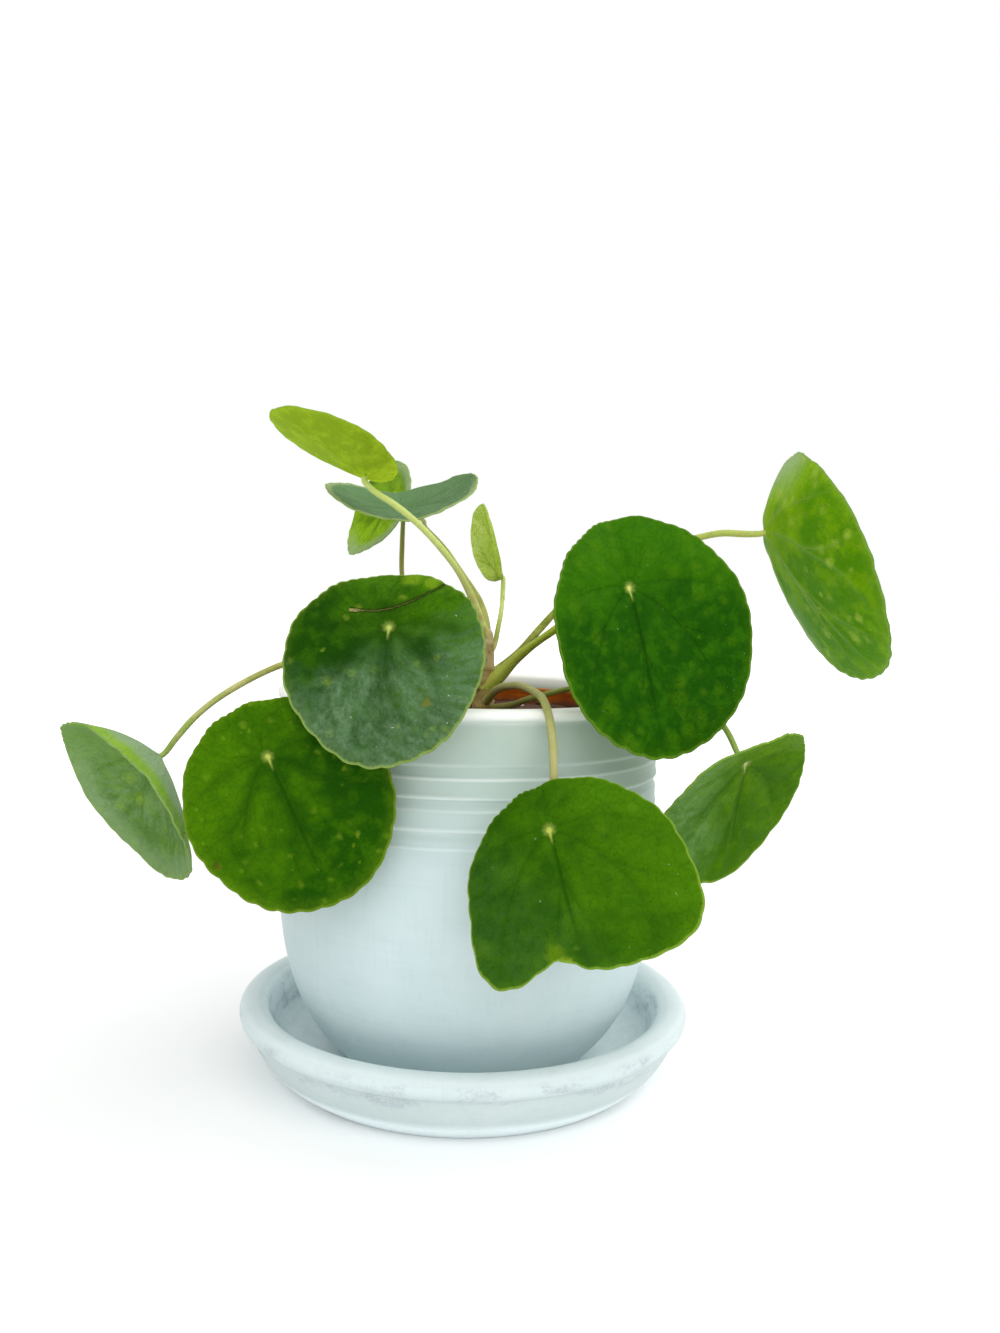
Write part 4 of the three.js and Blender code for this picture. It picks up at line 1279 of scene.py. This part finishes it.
# Leaf 4: the large leaf at the lower left, hanging over the pot's rim with its face to the
# front. Its veins are sunken and dark, and pale where they leave the stalk.
LEAF_4 = {
    "at": (-56.5, -66, 113), "turn": -4, "tilt": 93, "roll": 25,
    "half": (30.3, 31), "centre": (0.5, 15),
    "cup": 1.5, "crown": 0.8, "fold": -2, "tip": 0, "base": -0.5,
    "root": 126.5, "stalk": (2.8, 2.1), "neck": 2.6,
    "via": [(-5, -9, 131), (-20, -25, 135), (-37, -42, 134.5), (-48, -52, 128),
            (-54, -58, 119)],
}
finish_leaf(
    4, LEAF_4,
    face=dict(
        deep=(30, 80, 1), bright=(78, 128, 2), spots=(134, 166, 36), vein=(28, 74, 2),
        leaf_edge_highlight=(122, 152, 40), through=(110, 170, 4), star=(204, 216, 100), spotted=0.5,
        spot_size=4, veins=0.65, valley=3.4, line=0.3, lit_side=110, painted_light_slope=0.013,
        marks=[(27, 23, 1.6, (84, 78, 20))], thin=0.25,
    ),
    underside=dict(
        deep=(96, 142, 40), bright=(126, 168, 58), spots=(146, 184, 74), vein=(164, 194, 104),
        leaf_edge_highlight=(134, 160, 76), through=(116, 176, 10), thin=0.25,
    ),
    stalk_tones=dict(
        foot=(150, 130, 90), middle=(140, 156, 74), top=(132, 158, 66), streak=(170, 184, 100),
        fleck=(120, 116, 64),
    ),
)

# Leaf 5: the largest leaf that faces the front, at the upper right. It is deep green with
# soft yellow-green blotches between its veins, and its stalk is the thickest.
LEAF_5 = {
    "at": (45, -55.5, 162.5), "turn": 25, "tilt": 76, "roll": 7,
    "half": (33, 35.5), "centre": (-3.5, 14.5),
    "cup": 1.5, "crown": 0.8, "fold": 3, "tip": -2.5, "base": -3,
    "root": 127.5, "stalk": (5.2, 2.5), "neck": 2.6,
    "via": [(8.8, -2, 131), (15.2, -8, 138.4), (26.2, -25, 148.7), (36, -42, 157)],
}
finish_leaf(
    5, LEAF_5,
    face=dict(
        deep=(26, 79, 1), bright=(56, 114, 2), spots=(88, 136, 8), vein=(20, 64, 2),
        leaf_edge_highlight=(104, 142, 40), through=(100, 160, 2), star=(208, 222, 110), spotted=0.45,
        spot_size=6, spot_reach=0.95, veins=0.4, blotched=0.55, dust=0.2, thin=0.25,
    ),
    underside=dict(
        deep=(88, 136, 34), bright=(118, 162, 52), spots=(138, 180, 66), vein=(158, 190, 98),
        leaf_edge_highlight=(126, 156, 70), through=(110, 170, 8), spotted=0.35, thin=0.25,
    ),
    stalk_tones=dict(
        foot=(176, 178, 78), middle=(168, 188, 58), top=(160, 184, 60), streak=(184, 200, 84),
        fleck=(130, 142, 50), roughness=0.4,
    ),
)

# Leaf 6: the large leaf low in front of the pot. Its lower edge was crumpled as it grew,
# which left a notch, and its stalk comes over the pot's rim in a high arch.
LEAF_6 = {
    "at": (22, -80.5, 97), "turn": -12, "tilt": 64, "roll": 19,
    "half": (30.3, 30.7), "centre": (-4, 17),
    "cup": -2.5, "crown": 0.8, "fold": -1, "tip": 1, "base": 1,
    "dents": [(11, 12, -6), (-6, 24, -8), (-47, 15, 3), (36, 15, 5)],
    "root": 121.5, "stalk": (2.7, 2.4), "neck": 2.6,
    "via": [(8.2, -12, 127.7), (11.6, -25, 130.4), (14.7, -34, 131.5), (17.1, -42, 131.4),
            (19.3, -50, 130.8), (21, -58, 129.6), (22.3, -64, 125.5), (23.2, -67.5, 119),
            (23.6, -70, 110), (23.8, -72, 101)],
}
finish_leaf(
    6, LEAF_6,
    face=dict(
        deep=(38, 84, 4), bright=(72, 122, 2), spots=(100, 142, 20), vein=(32, 78, 4),
        leaf_edge_highlight=(142, 176, 60), through=(110, 170, 4), star=(206, 218, 100), spot_size=9,
        veins=0.35, line=0.4, lit_side=-110, painted_light_slope=0.008, dots=0.25, dust=0.3,
        painted_sheen=(66, 106, 46), painted_sheen_amount=0.5, painted_sheen_side=60, painted_sheen_from=14,
        marks=[(6.5, 32.5, 4, (100, 138, 14)), (4, 35, 2, (140, 164, 40))], thin=0.25,
    ),
    underside=dict(
        deep=(92, 140, 38), bright=(122, 166, 56), spots=(144, 184, 72), vein=(162, 194, 102),
        leaf_edge_highlight=(132, 160, 74), through=(114, 172, 8), thin=0.25,
    ),
    stalk_tones=dict(
        foot=(156, 160, 80), middle=(164, 168, 94), top=(164, 158, 106), streak=(180, 172, 126),
        fleck=(134, 130, 76),
    ),
)

# Leaf 7: the bright leaf at the far right, turned away so that its underside shows. It is
# cupped, with pale veins that stand proud of the underside.
LEAF_7 = {
    "at": (97.5, -0.5, 181.5), "turn": 98, "tilt": 72, "roll": -25,
    "half": (36, 39), "centre": (0.5, 18.5),
    "cup": 14, "crown": 1, "fold": -2.5, "tip": 1.5, "base": 1.5,
    "root": 130.5, "stalk": (3.3, 2.3), "neck": 1.5,
    "via": [(8.8, 4.6, 132.8), (15.3, 6.5, 138), (23.4, 9, 147.3), (32, 11, 156.4),
            (50, 11.5, 169), (64, 10, 175.5), (75.6, 8, 179.1), (83.4, 5, 180.8), (90.8, 2, 180.6)],
}
finish_leaf(
    7, LEAF_7,
    face=dict(
        deep=(54, 112, 6), bright=(80, 142, 14), spots=(124, 172, 40), vein=(44, 96, 6),
        leaf_edge_highlight=(130, 170, 64), through=(130, 190, 8), star=(214, 228, 124), spotted=0.4,
        veins=0.5, thin=0.45,
    ),
    underside=dict(
        deep=(92, 150, 2), bright=(172, 212, 8), spots=(200, 222, 84), vein=(160, 190, 84),
        leaf_edge_highlight=(150, 180, 84), through=(170, 220, 4), spotted=0.7, spot_size=6, spot_reach=0.6,
        painted_sheen=(180, 206, 132), painted_sheen_amount=0.55, painted_sheen_side=200, painted_sheen_from=14,
        painted_rim_sheen=((190, 212, 158), 0.85, -135, 0.45, 0.98), thin=0.45, sheen=0.25,
    ),
    stalk_tones=dict(
        foot=(118, 124, 40), middle=(134, 146, 52), top=(176, 190, 96), streak=(180, 184, 96),
        fleck=(100, 96, 44),
    ),
)

# Leaf 8: the leaf at the lower right, partly behind leaf 6, that hangs with its face turned
# to the front and down. Its upper left has a painted grey sheen.
LEAF_8 = {
    "at": (82, -50.5, 111), "turn": 38, "tilt": 122, "roll": 17,
    "half": (27.8, 29.2), "centre": (3, 13),
    "cup": 4.5, "crown": 0.5, "fold": -3, "tip": 3, "base": 2,
    "root": 119.8, "stalk": (2.4, 1.8), "neck": 2,
    "via": [(13.4, -4, 122), (19.1, -10, 124.8), (31.3, -19, 129.3), (46, -26, 132.2),
            (60, -32, 131.5), (70, -37, 127.5), (76.9, -42, 120.8)],
}
finish_leaf(
    8, LEAF_8,
    face=dict(
        deep=(68, 116, 2), bright=(104, 150, 2), spots=(104, 146, 30), vein=(38, 82, 8),
        leaf_edge_highlight=(146, 178, 70), through=(116, 172, 4), star=(206, 220, 140), spot_size=8,
        veins=0.45, valley=3, line=0.35, spine=0.25, painted_sheen=(122, 164, 96), painted_sheen_amount=0.9,
        painted_sheen_side=95, painted_sheen_from=10,
    ),
    underside=dict(
        deep=(96, 142, 42), bright=(126, 168, 62), spots=(146, 184, 78), vein=(164, 194, 106),
        leaf_edge_highlight=(136, 162, 80), through=(120, 176, 12),
    ),
    stalk_tones=dict(
        foot=(134, 130, 70), middle=(124, 146, 64), top=(132, 162, 72), streak=(160, 176, 94),
        fleck=(100, 104, 52),
    ),
)

# Leaf 9: the wide leaf at the back, held nearly level, its two sides raised like wings. Its
# face is smooth, its green painted grey by the sheen of the bright room, and its stalk olive brown.
LEAF_9 = {
    "at": (-27, 52, 189), "turn": -13, "tilt": 16, "roll": 20,
    "half": (27.4, 29.2), "centre": (0.3, 10.9),
    "cup": 5.2, "crown": 0.3, "fold": 6.5, "tip": -1, "base": -3.2,
    "root": 132.5, "stalk": (2.6, 1.8), "neck": 2.6, "quilted": 0.6,
    "via": [(-4, 14, 138), (-15, 31, 144), (-24, 45, 153), (-26.7, 50.5, 164),
            (-26.9, 51.7, 176)],
}
finish_leaf(
    9, LEAF_9,
    face=dict(
        # painted sheen: the face's greens are greyed, as the bright room reflects from it
        deep=(82, 120, 62), bright=(98, 136, 78), spots=(112, 148, 84), vein=(70, 106, 54),
        leaf_edge_highlight=(156, 184, 96), through=(120, 168, 40), star=(190, 206, 140), veins=0.35,
        painted_sheen=(118, 152, 114), painted_sheen_amount=0.6, painted_sheen_from=-40,
        painted_rim_sheen=((186, 202, 140), 0.5, 40, 0.965, 1.02), thin=0.2,
    ),
    underside=dict(
        deep=(104, 146, 44), bright=(136, 174, 64), spots=(156, 190, 84), vein=(168, 196, 108),
        leaf_edge_highlight=(156, 184, 84), through=(130, 178, 20), thin=0.25,
    ),
    stalk_tones=dict(
        foot=(128, 122, 62), middle=(134, 134, 62), top=(142, 146, 72), streak=(152, 148, 84),
        fleck=(112, 102, 54), roughness=0.5,
    ),
)

# Leaf 10: a small bright leaf at the back, under leaf 9, on a thin brownish stalk that
# starts near the top of the trunk.
LEAF_10 = {
    "at": (-36.8, 95, 191.5), "turn": -54, "tilt": 68, "roll": 13,
    "half": (19.3, 21.8), "centre": (-0.4, 3),
    "cup": 4.7, "crown": 0.3, "fold": -2.6, "tip": 2.6, "base": -1.5,
    "root": 140.5, "stalk": (2.4, 1.7), "neck": 2.6,
    "via": [(5, 5, 147.5), (2.8, 11, 155), (-3.8, 23, 164.8), (-9.3, 34, 172.4),
            (-13.4, 41, 176.9), (-18.2, 52, 181.5), (-20, 70, 185), (-25.5, 87, 187.5)],
}
finish_leaf(
    10, LEAF_10,
    face=dict(
        deep=(84, 124, 12), bright=(164, 204, 26), spots=(170, 204, 56), vein=(84, 130, 14),
        leaf_edge_highlight=(166, 194, 120), through=(140, 190, 10), star=(214, 228, 130), spotted=0.4,
        veins=0.4, lit_side=0, painted_sheen=(134, 162, 112), painted_sheen_amount=0.2, painted_sheen_from=6,
        painted_rim_sheen=((176, 196, 146), 0.8, -60, 0.75, 1),
    ),
    underside=dict(
        deep=(108, 156, 34), bright=(138, 180, 54), spots=(160, 198, 76), vein=(174, 202, 110),
        leaf_edge_highlight=(160, 190, 100), through=(146, 196, 12), veins=0.5,
    ),
    stalk_tones=dict(
        foot=(154, 154, 84), middle=(162, 172, 80), top=(162, 178, 82), streak=(176, 184, 96),
        fleck=(132, 132, 66),
    ),
)

# Leaf 11: the youngest leaf, above the trunk, still half folded along its midrib and pale
# yellow-green all over, on the thinnest stalk.
LEAF_11 = {
    "at": (9, 10.1, 164.1), "turn": -72, "tilt": 99, "roll": 182,
    "half": (11, 13), "centre": (0, 12.4),
    "cup": 3, "crown": 0, "fold": 2, "tip": 0, "base": -0.5,
    "root": 137.5, "stalk": (2.3, 1.6), "neck": 0.4, "quilted": 0.3,
    "via": [(7.5, 3.5, 141.5), (8.7, 5, 147), (9.7, 7, 153), (10.1, 9.2, 158.5)],
}
finish_leaf(
    11, LEAF_11,
    face=dict(
        deep=(168, 194, 50), bright=(206, 224, 96), spots=(184, 204, 84), vein=(120, 150, 20),
        leaf_edge_highlight=(190, 208, 116), through=(210, 232, 60), star=(214, 226, 130), veins=0.5,
        painted_sheen=(228, 238, 164), painted_sheen_amount=1, painted_sheen_side=-90, thin=0.45,
    ),
    underside=dict(
        deep=(176, 202, 66), bright=(210, 226, 100), spots=(190, 208, 96), vein=(120, 150, 24),
        leaf_edge_highlight=(194, 210, 124), through=(210, 232, 60), thin=0.45,
    ),
    stalk_tones=dict(
        foot=(150, 142, 80), middle=(168, 184, 86), top=(184, 202, 104), streak=(200, 214, 130),
        fleck=(146, 156, 70), roughness=0.42,
    ),
)
bpy.data.objects.remove(flat_disc)
